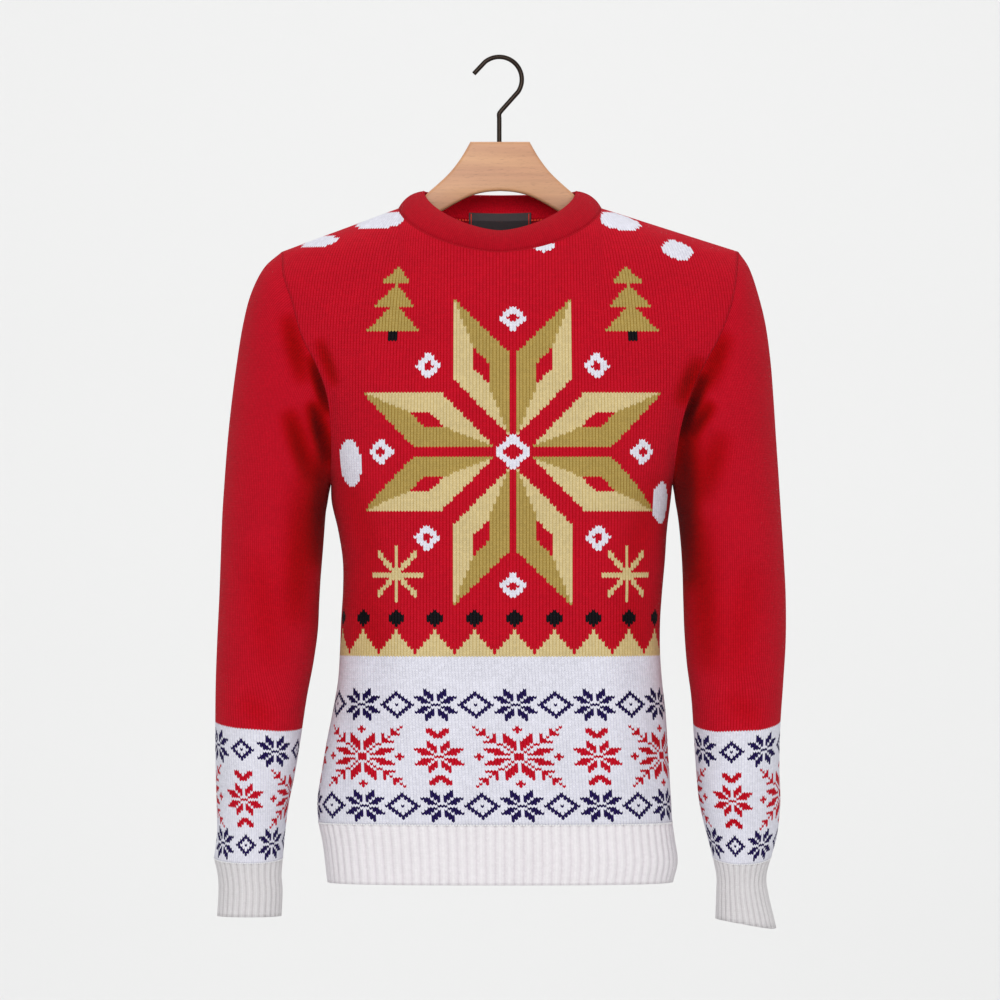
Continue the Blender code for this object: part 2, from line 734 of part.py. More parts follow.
def make_mesh(curve_object, name, colour, roughness, metallic):
    """The evaluated curve as a welded mesh object, with the curve removed."""
    bpy.context.view_layer.update()
    graph = bpy.context.evaluated_depsgraph_get()
    data = bpy.data.meshes.new_from_object(curve_object.evaluated_get(graph))
    mesh = bmesh.new()
    mesh.from_mesh(data)
    bmesh.ops.remove_doubles(mesh, verts=mesh.verts, dist=1e-6)
    bmesh.ops.transform(mesh, matrix=curve_object.matrix_world, verts=mesh.verts)
    bmesh.ops.recalc_face_normals(mesh, faces=mesh.faces)
    bpy.data.objects.remove(curve_object)
    return add_object(name, mesh, colour, roughness, metallic)


def build_hanger():
    flat = bpy.data.curves.new("hanger_outline", "CURVE")
    flat.dimensions = "2D"
    flat.fill_mode = "BOTH"
    flat.extrude = WOOD_THICK / 2 - WOOD_EDGE
    flat.bevel_depth = WOOD_EDGE
    flat.bevel_resolution = 1
    flat.offset = -WOOD_EDGE
    outline = flat.splines.new("POLY")
    points = hanger_outline()
    outline.points.add(len(points) - 1)
    for point, place in zip(outline.points, points):
        point.co = (*place, 1.0)
    outline.use_cyclic_u = True
    drawn = bpy.data.objects.new("hanger_outline", flat)
    drawn.matrix_world = Matrix.Rotation(math.pi / 2, 4, "X")
    sweater.objects.link(drawn)
    wood = make_mesh(drawn, "hanger_body", BEECH, 0.45, 0.0)
    hole = bmesh.new()
    depth = STEM_INTO_WOOD + SEAM_GAP
    bmesh.ops.create_cone(
        hole,
        cap_ends=True,
        segments=16,
        radius1=WIRE / 2 + SEAM_GAP,
        radius2=WIRE / 2 + SEAM_GAP,
        depth=2 * depth,
    )
    crown = -HANGER_NECK[0][1] * MM
    bmesh.ops.translate(hole, vec=(STEM_X * MM, 0, crown), verts=hole.verts)
    cutter = add_object("stem_hole", hole, BLACK, collection=cutters)
    cutter.hide_render = True
    cutter.display_type = "WIRE"
    cut = wood.modifiers.new("stem_hole", "BOOLEAN")
    cut.operation = "DIFFERENCE"
    cut.solver = "EXACT"
    cut.object = cutter


def build_hook():
    """One bent wire: straight tip, arc, run back to the middle, kink, stem."""
    centre = Vector((STEM_X * MM, 0, WIRE / 2 - HOOK_RADIUS))
    path = [Vector((HOOK_TIP[0] * MM, 0, -HOOK_TIP[1] * MM))]
    for degrees in np.linspace(*HOOK_ARC_DEG, 18):
        turn = math.radians(degrees)
        path.append(centre + HOOK_RADIUS * Vector((math.cos(turn), 0, math.sin(turn))))
    kink = Vector((STEM_X * MM, 0, -KINK_DROP * MM))
    end = Vector((STEM_X * MM, 0, -HANGER_NECK[0][1] * MM - STEM_INTO_WOOD))
    path += [path[-1].lerp(kink, 0.5), path[-1].lerp(kink, 0.86)]
    path += [kink.lerp(end, 0.08), kink.lerp(end, 0.5), end]
    wire = bpy.data.curves.new("hook_wire", "CURVE")
    wire.dimensions = "3D"
    wire.bevel_depth = WIRE / 2
    wire.bevel_resolution = 2
    wire.use_fill_caps = True
    run = wire.splines.new("POLY")
    run.points.add(len(path) - 1)
    for point, place in zip(run.points, path):
        point.co = (*place, 1.0)
    drawn = bpy.data.objects.new("hook_wire", wire)
    sweater.objects.link(drawn)
    make_mesh(drawn, "hanger_hook", BLACK, 0.35, 1.0)


for old in list(bpy.data.objects):
    bpy.data.objects.remove(old)
sweater = bpy.data.collections.new("christmas_sweater")
cutters = bpy.data.collections.new("cutters")
bpy.context.scene.collection.children.link(sweater)
bpy.context.scene.collection.children.link(cutters)
build_cloth()
build_hanger()
build_hook()
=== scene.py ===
# %% [markdown]
# # A Christmas sweater on its hanger
# Each knitted part of the sweater is a piece of its own, as on the real
# garment: two panels, two sleeves, a neckband, the hem's rib and two cuffs.
# They hang, filled out as if worn, on a flat wooden hanger with a wire hook.
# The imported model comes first. It fixes every size, and the dressed pieces
# below replace its plain solids one by one.

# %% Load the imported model
import json
import math

import bmesh
import bpy
import numpy as np
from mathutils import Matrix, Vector

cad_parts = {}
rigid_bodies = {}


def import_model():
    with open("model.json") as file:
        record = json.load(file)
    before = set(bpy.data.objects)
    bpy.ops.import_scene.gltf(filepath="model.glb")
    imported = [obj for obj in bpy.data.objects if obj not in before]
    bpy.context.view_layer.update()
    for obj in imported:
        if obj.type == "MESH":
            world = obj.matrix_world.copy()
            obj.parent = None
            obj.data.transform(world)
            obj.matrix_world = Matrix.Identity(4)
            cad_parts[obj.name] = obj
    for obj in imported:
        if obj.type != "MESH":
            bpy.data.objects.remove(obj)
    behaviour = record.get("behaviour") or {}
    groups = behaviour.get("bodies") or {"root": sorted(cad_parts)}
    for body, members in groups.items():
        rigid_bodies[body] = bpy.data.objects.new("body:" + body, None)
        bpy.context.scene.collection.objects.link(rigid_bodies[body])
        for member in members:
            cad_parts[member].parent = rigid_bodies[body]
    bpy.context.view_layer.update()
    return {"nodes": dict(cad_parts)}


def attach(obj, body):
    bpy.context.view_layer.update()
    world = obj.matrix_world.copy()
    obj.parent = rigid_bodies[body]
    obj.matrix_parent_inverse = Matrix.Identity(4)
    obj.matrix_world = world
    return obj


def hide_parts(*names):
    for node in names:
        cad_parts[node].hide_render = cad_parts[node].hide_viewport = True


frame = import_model()
MM = 0.001
print("solids:", ", ".join(sorted(frame["nodes"])))

# %% [markdown]
# A long lens far away draws a garment without the bulge that a near camera
# gives. At 8 m, a 306 mm lens takes in 0.94 m at the plane of the hanger. It
# looks straight ahead, from 0.41 m below the point where the hook hangs.

# %% Camera
CAMERA_AWAY, CAMERA_DROP, FOCAL_LENGTH = 8.0, 0.4143, 306.4

lens = bpy.data.cameras.new("camera")
lens.sensor_width = 36.0
lens.lens = FOCAL_LENGTH
lens.clip_end = 100.0
camera = bpy.data.objects.new("camera", lens)
camera.location = (0.0, -CAMERA_AWAY, -CAMERA_DROP)
camera.rotation_euler = (math.pi / 2, 0.0, 0.0)
bpy.context.scene.collection.objects.link(camera)
bpy.context.scene.camera = camera
print("camera looks along +Y from", tuple(camera.location))

# %% [markdown]
# The studio is a pale sweep: a floor that bends up into a wall, so that no
# line shows behind the sweater. Seen from behind the paper is clear, so the
# back of the sweater can be looked at too. Large soft lights keep the
# shadows weak.

# %% Studio sweep
def plain(name, colour, roughness=0.9):
    """A material with one colour, to be used as it is or built on."""
    made = bpy.data.materials.new(name)
    made.use_nodes = True
    shader = made.node_tree.nodes["Principled BSDF"]
    shader.inputs["Base Color"].default_value = (*colour, 1.0)
    shader.inputs["Roughness"].default_value = roughness
    return made


def finished_mesh(mesh, name):
    """A mesh of a name from a bmesh, with its faces turned outwards."""
    bmesh.ops.recalc_face_normals(mesh, faces=mesh.faces)
    data = bpy.data.meshes.new(name)
    mesh.to_mesh(data)
    mesh.free()
    return data


def placed(name, data):
    made = bpy.data.objects.new(name, data)
    bpy.context.scene.collection.objects.link(made)
    return made


# In metres: the floor's front end, its length, the bend's radius, the wall's
# height, the sweep's width and the floor's height. The bend takes a share of
# the sheet from one place to another.
FLOOR_FRONT, FLOOR_LENGTH, BEND, WALL_HEIGHT = -11.0, 14.0, 3.0, 12.0
SWEEP_WIDTH, FLOOR_HEIGHT, BEND_FROM, BEND_TO = 40.0, -1.45, 0.4, 0.7

sweep = bmesh.new()
bmesh.ops.create_grid(sweep, x_segments=1, y_segments=24, size=0.5)
for vert in sweep.verts:
    share = vert.co.y + 0.5
    turn = min(max((share - BEND_FROM) / (BEND_TO - BEND_FROM), 0.0), 1.0) * math.pi / 2
    along_floor = FLOOR_LENGTH * min(share / BEND_FROM, 1.0) + BEND * math.sin(turn)
    up = BEND * (1 - math.cos(turn)) + WALL_HEIGHT * max(share - BEND_TO, 0.0) / (1 - BEND_TO)
    vert.co = (vert.co.x * SWEEP_WIDTH, FLOOR_FRONT + along_floor, FLOOR_HEIGHT + up)
sweep_data = finished_mesh(sweep, "studio_sweep")
sweep_data.shade_smooth()
if sweep_data.polygons[0].normal.z < 0:
    sweep_data.flip_normals()
paper = plain("studio_paper", (0.700, 0.702, 0.700))
tree = paper.node_tree
side = tree.nodes.new("ShaderNodeNewGeometry")
clear = tree.nodes.new("ShaderNodeBsdfTransparent")
choice = tree.nodes.new("ShaderNodeMixShader")
tree.links.new(side.outputs["Backfacing"], choice.inputs["Fac"])
tree.links.new(tree.nodes["Principled BSDF"].outputs["BSDF"], choice.inputs[1])
tree.links.new(clear.outputs["BSDF"], choice.inputs[2])
tree.links.new(choice.outputs["Shader"], tree.nodes["Material Output"].inputs["Surface"])
sweep_data.materials.append(paper)
studio = placed("studio_sweep", sweep_data)
print("sweep:", len(sweep_data.polygons), "faces")


# %% Lights
def soft_light(name, place, target, size, power):
    """A square lamp at a place, turned towards a target."""
    lamp = bpy.data.lights.new(name, "AREA")
    lamp.size = size
    lamp.energy = power
    made = placed(name, lamp)
    made.location = place
    aim = Vector(target) - Vector(place)
    made.rotation_euler = aim.to_track_quat("-Z", "Y").to_euler()


world = bpy.data.worlds.new("studio_air")
world.use_nodes = True
world.node_tree.nodes["Background"].inputs["Color"].default_value = (1, 1, 1, 1)
world.node_tree.nodes["Background"].inputs["Strength"].default_value = 0.70
bpy.context.scene.world = world
bpy.context.scene.view_settings.view_transform = "Standard"
soft_light("key", (-0.9, -4.8, 0.9), (0.0, 0.0, -0.4), 1.5, 70.0)
soft_light("fill", (1.6, -4.6, 0.2), (0.0, 0.0, -0.45), 1.8, 34.0)
soft_light("backdrop", (0.0, 1.2, 3.2), (0.0, 6.0, 0.0), 3.0, 150.0)
print("lights: key, fill, backdrop and the air")

# %% [markdown]
# ## The cut of the sweater
# The garment is described by a few short tables. A drop is a distance in
# millimetres below the top of the hook. The body's tables give how wide and
# how deep it is at each drop; a sleeve's table gives, ring by ring, a point
# over the arm, a point under it and half the ring's depth.

# %% Sizes of the body
SEAM_GAP = 0.3 * MM
JERSEY = 2.0 * MM
NECK_X, NECK_DROP, TIP_DROP = 95.0, 140.0, 181.0
UNDERARM_DROP, HEM_SEAM_DROP = 400.0, 717.0
FRONT_NECK_DROP, BACK_NECK_DROP, NECK_ROUND = 183.0, 149.5, 1.7
ARMHOLE_DEPTH, ARMHOLE_ROUND = 54.0, 2.2
RIGHT, LEFT = 1, 2
FRONT, BACK = 1, 2
ARMHOLE = (
    # drop, half width on the right, on the left
    (181.0, 205.0, 224.0),
    (204.0, 203.0, 222.0),
    (226.0, 195.5, 218.0),
    (262.0, 185.0, 205.0),
    (290.0, 171.0, 190.0),
    (312.0, 163.0, 180.0),
    (339.0, 158.5, 171.0),
    (367.0, 158.0, 165.5),
    (400.0, 159.0, 162.0),
)
SIDES = (
    # drop, half width on the right, on the left
    (400.0, 159.0, 162.0),
    (414.0, 158.5, 160.5),
    (442.0, 152.3, 157.0),
    (471.0, 147.8, 155.0),
    (499.0, 147.6, 152.5),
    (527.0, 149.3, 150.6),
    (555.0, 150.4, 150.4),
    (584.0, 152.3, 152.3),
    (612.0, 157.0, 155.5),
    (640.0, 162.6, 157.3),
    (668.0, 167.3, 159.0),
    (696.0, 171.5, 160.7),
    (717.0, 170.5, 162.0),
    (734.0, 167.0, 164.5),
    (753.0, 164.5, 167.0),
    (773.0, 162.5, 163.0),
)
DEPTHS = (
    # drop, depth in front, behind, squareness of the section
    (140.0, 50.0, 44.0, 2.0),
    (160.0, 62.0, 56.0, 2.0),
    (181.0, 70.0, 68.0, 2.0),
    (220.0, 82.0, 79.0, 2.1),
    (270.0, 92.0, 87.0, 2.2),
    (330.0, 97.0, 90.0, 2.4),
    (400.0, 97.0, 89.0, 2.6),
    (470.0, 92.0, 84.0, 2.6),
    (520.0, 88.0, 81.0, 2.6),
    (580.0, 86.0, 81.0, 2.7),
    (650.0, 87.0, 83.0, 2.8),
    (717.0, 84.0, 81.0, 2.8),
    (773.0, 82.0, 79.0, 2.8),
)
print("body:", len(ARMHOLE) + len(SIDES) + len(DEPTHS), "rows of sizes")

# %% Sizes of the sleeves and cuffs
SLEEVE_FORWARD = 12.0
CAP_REACH = 4.0
SLEEVES = {
    "right": (
        # over the arm: x, drop; under the arm: x, drop; half depth
        (205.0, 181.0, 159.0, 400.0, 54.0),
        (221.8, 196.2, 159.6, 404.0, 57.0),
        (234.1, 220.6, 160.7, 410.0, 59.0),
        (241.6, 249.8, 161.7, 417.0, 59.5),
        (247.2, 284.5, 163.1, 425.0, 59.5),
        (251.9, 320.3, 164.0, 435.0, 59.0),
        (255.7, 356.0, 165.0, 449.0, 58.0),
        (258.5, 391.7, 166.4, 467.0, 57.0),
        (260.9, 428.4, 168.3, 487.6, 56.0),
        (262.3, 466.0, 169.7, 511.1, 55.0),
        (263.7, 505.4, 171.1, 538.3, 53.5),
        (265.6, 545.9, 175.3, 568.4, 51.0),
        (267.0, 586.3, 181.4, 600.4, 48.0),
        (267.4, 627.6, 186.6, 635.2, 45.0),
        (267.0, 666.2, 192.2, 669.9, 42.0),
        (266.0, 699.0, 198.3, 700.0, 38.5),
        (265.6, 726.3, 201.6, 726.3, 35.5),
        (268.4, 750.0, 203.7, 750.0, 33.5),
    ),
    "left": (
        (224.0, 181.0, 162.0, 400.0, 54.0),
        (234.1, 196.2, 162.6, 404.0, 57.0),
        (242.5, 220.6, 163.6, 410.0, 59.0),
        (249.6, 249.8, 164.5, 417.0, 59.5),
        (254.3, 284.5, 165.9, 425.0, 59.5),
        (257.1, 320.3, 167.3, 435.0, 59.0),
        (259.4, 356.0, 168.7, 449.0, 58.0),
        (261.8, 391.7, 170.1, 467.0, 57.0),
        (264.1, 428.4, 171.1, 487.6, 56.0),
        (266.5, 466.0, 172.0, 511.1, 55.0),
        (268.4, 505.4, 173.0, 538.3, 53.5),
        (268.4, 545.9, 175.3, 568.4, 51.0),
        (266.0, 586.3, 179.5, 600.4, 48.0),
        (263.2, 627.6, 181.9, 635.2, 45.0),
        (262.3, 666.2, 184.2, 669.9, 42.0),
        (263.2, 696.3, 187.1, 699.0, 38.5),
        (260.4, 726.3, 193.6, 726.3, 34.0),
        (254.7, 748.0, 199.3, 748.0, 30.0),
    ),
}
CUFFS = {
    "right": (
        # drop outside, drop inside, x outside, x inside, half depth
        (750.0, 750.0, 268.4, 203.7, 33.5),
        (766.0, 766.0, 265.0, 205.0, 31.5),
        (781.0, 781.0, 264.2, 204.0, 31.0),
        (804.5, 804.5, 265.5, 205.0, 31.5),
    ),
    "left": (
        (748.0, 748.0, 254.7, 199.3, 30.0),
        (766.0, 766.0, 250.2, 203.0, 27.0),
        (782.0, 781.0, 251.5, 203.0, 27.5),
        (816.0, 807.0, 259.4, 202.1, 30.5),
    ),
}
print("sleeves:", {name: len(rows) for name, rows in SLEEVES.items()}, "rings")

# %% [markdown]
# The tables are short, so smooth curves are drawn through their rows. Every
# piece below is placed by these few helpers. A section of the body is a
# squarish oval. Above the underarm it is cut off at the armhole's edge.

# %% Curves through the tables
def along(table, column, where):
    """Smooth value of a table's column at places in its first column."""
    rows = np.array(table)
    places, values = rows[:, 0], rows[:, column]
    slopes = np.gradient(values, places)
    i = np.clip(np.searchsorted(places, where) - 1, 0, len(places) - 2)
    step = places[i + 1] - places[i]
    t = np.clip((where - places[i]) / step, 0.0, 1.0)
    rise = t * t * (3 - 2 * t)
    start, end = values[i] * (1 - rise), values[i + 1] * rise
    leave = slopes[i] * step * t * (1 - t) ** 2
    arrive = slopes[i + 1] * step * t * t * (1 - t)
    return start + end + leave - arrive


def even_steps(points, count):
    """Places, as shares of the list, that cut a run of points in equal lengths."""
    lengths = np.linalg.norm(np.diff(points, axis=0), axis=1)
    travelled = np.concatenate([[0.0], np.cumsum(lengths)])
    shares = np.linspace(0.0, 1.0, len(points))
    return np.interp(np.linspace(0.0, travelled[-1], count + 1), travelled, shares)


def mix(a, b, t):
    """From a at 0 to b at 1."""
    return a + (b - a) * t


def ease(t):
    """From 0 to 1 with a soft start and end, and still outside them."""
    t = np.clip(t, 0.0, 1.0)
    return t * t * (3 - 2 * t)


def arch(share, roundness):
    """Falls from 1 in the middle to 0 at a share of 1."""
    return (1 - np.clip(share, 0, 1) ** roundness) ** (1 / roundness)


def unit(vectors):
    return vectors / np.maximum(np.linalg.norm(vectors, axis=-1, keepdims=True), 1e-12)


# %% The body's section
FINE = 1200


def half_width(side, drop):
    """From the middle to the shoulder seam, the armhole or the side seam."""
    tip = ARMHOLE[0][side]
    shoulder = NECK_X + (tip - NECK_X) * (drop - NECK_DROP) / (TIP_DROP - NECK_DROP)
    above = np.where(drop < TIP_DROP, shoulder, along(ARMHOLE, side, drop))
    return np.where(drop < UNDERARM_DROP, above, along(SIDES, side, drop))


def armhole_reach(drop):
    """How far the armhole's edge stands in front of and behind the shoulder."""
    share = (drop - TIP_DROP) / (UNDERARM_DROP - TIP_DROP)
    return ARMHOLE_DEPTH * arch(np.abs(2 * share - 1), ARMHOLE_ROUND)


def body_depth(face, side, x, drop):
    """How far the cloth stands from the plane of the side seams."""
    square = along(DEPTHS, 3, drop)
    middle = along(DEPTHS, face, drop)
    oval = half_width(side, drop) / arch(armhole_reach(drop) / middle, square)
    return middle * arch(x / oval, square)


def even_columns(face, side, drop, count):
    """Shares of the half width that cut a level section in equal lengths."""
    fine = np.sin(np.linspace(0.0, math.pi / 2, FINE))
    x = fine * half_width(side, drop)
    section = np.stack([x, body_depth(face, side, x, drop)], axis=1)
    return np.interp(even_steps(section, count), np.linspace(0, 1, FINE), fine)


print("hip, half width and depth:", half_width(LEFT, 650.0), along(DEPTHS, FRONT, 650.0))

# %% [markdown]
# A panel is laid out as rows and columns of points. Below the arms the
# columns part each level section evenly. Above, they drift to the neck curve
# and the shoulder seam, and the rows rise with them.

# %% Lay out the panels
HALF_COLUMNS, NECK_COLUMNS = 72, 36
LOW_ROWS, ARM_ROWS = 72, 72


def top_edge(face, side):
    """x and drop of the columns' upper ends: neck curve, then shoulder seam."""
    lowest = FRONT_NECK_DROP if face == FRONT else BACK_NECK_DROP
    x = NECK_X * np.sin(np.linspace(0.0, math.pi / 2, FINE))
    drop = NECK_DROP + (lowest - NECK_DROP) * arch(x / NECK_X, NECK_ROUND)
    edge = np.stack([x, body_depth(face, side, x, drop), drop], axis=1)
    places = even_steps(edge, NECK_COLUMNS)
    shares = np.linspace(0, 1, FINE)
    seam = np.linspace(0, 1, HALF_COLUMNS - NECK_COLUMNS + 1)[1:]
    seam_x = mix(NECK_X, ARMHOLE[0][side], seam)
    seam_drop = mix(NECK_DROP, TIP_DROP, seam)
    neck_x, neck_drop = np.interp(places, shares, x), np.interp(places, shares, drop)
    return np.concatenate([neck_x, seam_x]), np.concatenate([neck_drop, seam_drop])


def half_panel(face, side):
    """x, depth and drop of half a panel, from the hem seam up, middle to edge."""
    low = even_columns(face, side, UNDERARM_DROP, HALF_COLUMNS)
    top_x, top_drop = top_edge(face, side)
    top = top_x / top_x[-1]
    x, drop = [], []
    for level in np.linspace(HEM_SEAM_DROP, UNDERARM_DROP, LOW_ROWS + 1)[:-1]:
        x.append(low * half_width(side, level))
        drop.append(np.full(len(low), level))
    for step in range(ARM_ROWS + 1):
        up = (1 - math.cos(math.pi * step / ARM_ROWS)) / 2
        x.append(mix(low, top, ease(up)))
        x[-1] = x[-1] * half_width(side, mix(UNDERARM_DROP, TIP_DROP, up))
        drop.append(mix(UNDERARM_DROP, top_drop, up))
    x, drop = np.array(x), np.array(drop)
    return x, body_depth(face, side, x, drop), drop


def both_halves(right, left):
    return np.concatenate([right[:, :0:-1], left], axis=1)


def panel(face):
    """Outer points of a whole panel: rows from the hem up, columns towards +X."""
    halves = []
    for side, sign in ((RIGHT, -1), (LEFT, 1)):
        x, depth, drop = half_panel(face, side)
        y = depth * (-1 if face == FRONT else 1)
        halves.append(np.stack([x * sign, y, -drop], axis=-1) * MM)
    return both_halves(*halves)


front, back = panel(FRONT), panel(BACK)
print("panel grid:", front.shape[:2])


# %% [markdown]
# A sleeve is a stack of rings, tilted at the shoulder and level at the wrist.
# Its first ring is the armhole itself, and the next ones forget that curve.

# %% Lay out the sleeves
SLEEVE_ROWS = 150
AROUND = 2 * ARM_ROWS


def ring(over, under, half_depth, forward, angles):
    """An oval section between a point over the arm and one under it."""
    over, under = np.array(over), np.array(under)
    middle, reach = (over + under) / 2, (under - over) / 2
    x = middle[0] + reach[0] * np.cos(angles)
    drop = middle[1] + reach[1] * np.cos(angles)
    y = -half_depth * np.sin(angles) - forward
    return np.stack([x, y, -drop], axis=-1)


def rows_between(table, count):
    """The rings of a table, with more of them smoothly between."""
    steps = np.arange(len(table), dtype=float)
    numbered = np.column_stack([steps, np.array(table)])
    where = np.linspace(0, len(table) - 1, count)
    return where, [along(numbered, k, where) for k in range(1, numbered.shape[1])]


def armhole_loop(edge):
    """The armhole's edge from the underarm up the front and down the back."""
    return np.concatenate([front[LOW_ROWS:, edge], back[-2:LOW_ROWS:-1, edge]])


def sleeve(name, armhole):
    """Outer points of a sleeve, from the armhole's edge to the cuff."""
    sign = -1 if name == "right" else 1
    angles = np.linspace(0, 2 * math.pi, AROUND, endpoint=False)
    where, columns = rows_between(SLEEVES[name], SLEEVE_ROWS)
    rings = []
    for place, over_x, over_drop, under_x, under_drop, depth in zip(where, *columns):
        forward = SLEEVE_FORWARD * (place / where[-1]) ** 1.5
        over, under = (over_x, over_drop), (under_x, under_drop)
        rings.append(ring(over, under, depth, forward, angles))
    rings = np.array(rings) * MM
    rings[..., 0] *= sign
    fading = np.clip(1 - where / CAP_REACH, 0, 1) ** 2
    return rings + (armhole - rings[0]) * fading[:, None, None]


sleeves = {"right": sleeve("right", armhole_loop(0)), "left": sleeve("left", armhole_loop(-1))}
print("sleeve grid:", sleeves["right"].shape[:2])


# %% [markdown]
# Cloth that hangs from a shoulder creases where the arm meets the body.
# Each crease is a soft trough between two points of the cloth, drawn where a
# real one lies: deep and short at the armpit, long and shallow elsewhere. A
# negative depth is a ridge. Deep down in a tight crease hardly any light
# gets in, so each crease also has shade painted into its yarn's colour. The
# same tables paint the shadow that the body casts on each sleeve's inner
# side. The hidden back gets folds of its own, of the same kind.

# %% Press the folds
FRONT_TO_BACK = 24.0 * MM
SEAM_POINTS = 3.0
FOLDS = {
    # from x, drop; to x, drop; reach to each side; depth; how much shade is painted in
    "front": (
        (-146.0, 395.0, -118.0, 470.0, 15.0, 3.0, 0.1),
        (-128.0, 480.0, -112.0, 640.0, 18.0, 2.5, 0.1),
        (186.0, 286.0, 170.0, 322.0, 8.0, 2.5, 0.6),
        (166.0, 330.0, 161.0, 380.0, 5.0, 1.2, 0.0),
        (148.0, 400.0, 122.0, 480.0, 15.0, 3.0, 0.1),
        (124.0, 500.0, 128.0, 650.0, 18.0, 2.2, 0.1),
        (-60.0, 560.0, 30.0, 600.0, 26.0, 1.6, 0.0),
        (-168.0, 268.0, -155.0, 304.0, 5.0, 2.0, 0.5),
        (-157.0, 310.0, -156.0, 350.0, 3.5, 0.8, 0.0),
        (-140.0, 560.0, -146.0, 700.0, 9.0, 1.8, 0.1),
        (146.0, 590.0, 140.0, 705.0, 9.0, 1.5, 0.1),
        (60.0, 420.0, 96.0, 540.0, 24.0, 1.4, 0.0),
        (-30.0, 640.0, -38.0, 712.0, 14.0, 1.0, 0.0),
        (52.0, 655.0, 60.0, 712.0, 12.0, 0.9, 0.0),
    ),
    "back": (
        (-148.0, 398.0, -110.0, 465.0, 15.0, 3.5, 0.2),
        (147.0, 396.0, 116.0, 480.0, 15.0, 3.2, 0.2),
        (-70.0, 500.0, 40.0, 560.0, 24.0, 2.6, 0.1),
        (60.0, 540.0, -20.0, 610.0, 22.0, 2.0, 0.1),
        (-118.0, 520.0, -126.0, 650.0, 16.0, 2.5, 0.1),
        (120.0, 540.0, 128.0, 690.0, 15.0, 2.2, 0.1),
        (-176.0, 290.0, -160.0, 330.0, 6.0, 2.2, 0.7),
        (182.0, 296.0, 166.0, 340.0, 6.0, 2.4, 0.7),
        (-40.0, 430.0, 52.0, 470.0, 26.0, 1.6, 0.0),
        (20.0, 640.0, 28.0, 712.0, 13.0, 1.0, 0.0),
    ),
    "right, in front": (
        (-174.0, 284.0, -160.0, 330.0, 5.0, 5.0, 1.7),
        (-174.0, 328.0, -160.0, 376.0, 6.5, 5.5, 1.6),
        (-198.0, 246.0, -184.0, 300.0, 8.0, 3.0, 0.5),
        (-196.0, 336.0, -177.0, 392.0, 8.0, 3.6, 0.7),
        (-186.0, 310.0, -173.0, 346.0, 6.0, -2.0, 0.0),
        # Painted shadow: here the body shades the sleeve's inner side.
        (-165.0, 376.0, -170.0, 470.0, 9.0, 1.5, 0.9),
        (-182.0, 400.0, -190.0, 520.0, 13.0, 2.0, 0.3),
        (-226.0, 470.0, -214.0, 560.0, 16.0, 1.6, 0.1),
        (-240.0, 596.0, -216.0, 616.0, 11.0, 1.4, 0.1),
        (-214.0, 640.0, -220.0, 720.0, 12.0, 1.2, 0.0),
    ),
    "right, behind": (
        (-180.0, 290.0, -164.0, 338.0, 6.0, 4.4, 1.3),
        (-190.0, 336.0, -168.0, 372.0, 8.0, 4.2, 1.2),
        (-206.0, 256.0, -188.0, 318.0, 9.0, 2.6, 0.4),
        (-196.0, 380.0, -188.0, 486.0, 14.0, 2.2, 0.3),
        (-236.0, 520.0, -204.0, 548.0, 13.0, 2.2, 0.2),
        (-226.0, 600.0, -232.0, 700.0, 13.0, 1.4, 0.1),
    ),
    "left, in front": (
        (189.0, 300.0, 168.0, 352.0, 6.0, 5.4, 1.7),
        (196.0, 326.0, 178.0, 352.0, 6.0, 4.0, 0.9),
        (200.0, 316.0, 186.0, 344.0, 6.0, -1.8, 0.0),
        (209.0, 262.0, 192.0, 306.0, 9.0, 2.6, 0.5),
        (206.0, 356.0, 188.0, 410.0, 11.0, 3.0, 0.3),
        # Painted shadow: here the body shades the sleeve's inner side.
        (171.0, 324.0, 173.0, 486.0, 10.5, 2.2, 1.4),
        (186.0, 440.0, 192.0, 560.0, 13.0, 2.0, 0.3),
        (232.0, 480.0, 220.0, 570.0, 16.0, 1.5, 0.1),
        (214.0, 590.0, 240.0, 612.0, 11.0, 1.4, 0.1),
        (212.0, 650.0, 216.0, 725.0, 12.0, 1.4, 0.1),
    ),
    "left, behind": (
        (196.0, 300.0, 172.0, 346.0, 6.5, 4.4, 1.3),
        (204.0, 340.0, 178.0, 376.0, 8.0, 4.0, 1.1),
        (216.0, 268.0, 200.0, 326.0, 9.0, 2.4, 0.4),
        (198.0, 396.0, 192.0, 500.0, 14.0, 2.2, 0.3),
        (206.0, 528.0, 240.0, 560.0, 13.0, 2.0, 0.2),
        (230.0, 610.0, 224.0, 705.0, 13.0, 1.4, 0.1),
    ),
}


def trough(points, table):
    """How far a table's folds press in the points, and how much shade is painted on them."""
    place = np.stack([points[..., 0], -points[..., 2]], axis=-1) / MM
    sunk, dark = np.zeros(points.shape[:2]), np.zeros(points.shape[:2])
    for x0, drop0, x1, drop1, reach, depth, shade in table:
        start, run = np.array([x0, drop0]), np.array([x1 - x0, drop1 - drop0])
        share = ((place - start) @ run) / (run @ run)
        nearest = start + np.clip(share, 0, 1)[..., None] * run
        away = np.linalg.norm(place - nearest, axis=-1) / reach
        here = np.exp(-(away**2)) * np.sin(math.pi * np.clip(mix(0.15, 0.85, share), 0, 1))
        sunk += depth * MM * here
        dark += shade * here
    return sunk, dark


def edge_fade(rows, columns, around):
    """Folds die away towards a seam, over its last few points."""
    row = np.arange(rows)
    fade = ease(np.minimum(row, rows - 1 - row) / SEAM_POINTS)[:, None] * np.ones(columns)
    if not around:
        column = np.arange(columns)
        fade = fade * ease(np.minimum(column, columns - 1 - column) / SEAM_POINTS)
    return fade


def normals(points, around, outward):
    """Directions square to a sheet; outward is 1 or -1."""
    if around:
        across = np.roll(points, -1, axis=1) - np.roll(points, 1, axis=1)
    else:
        across = np.gradient(points, axis=1)
    return unit(np.cross(across, np.gradient(points, axis=0))) * outward


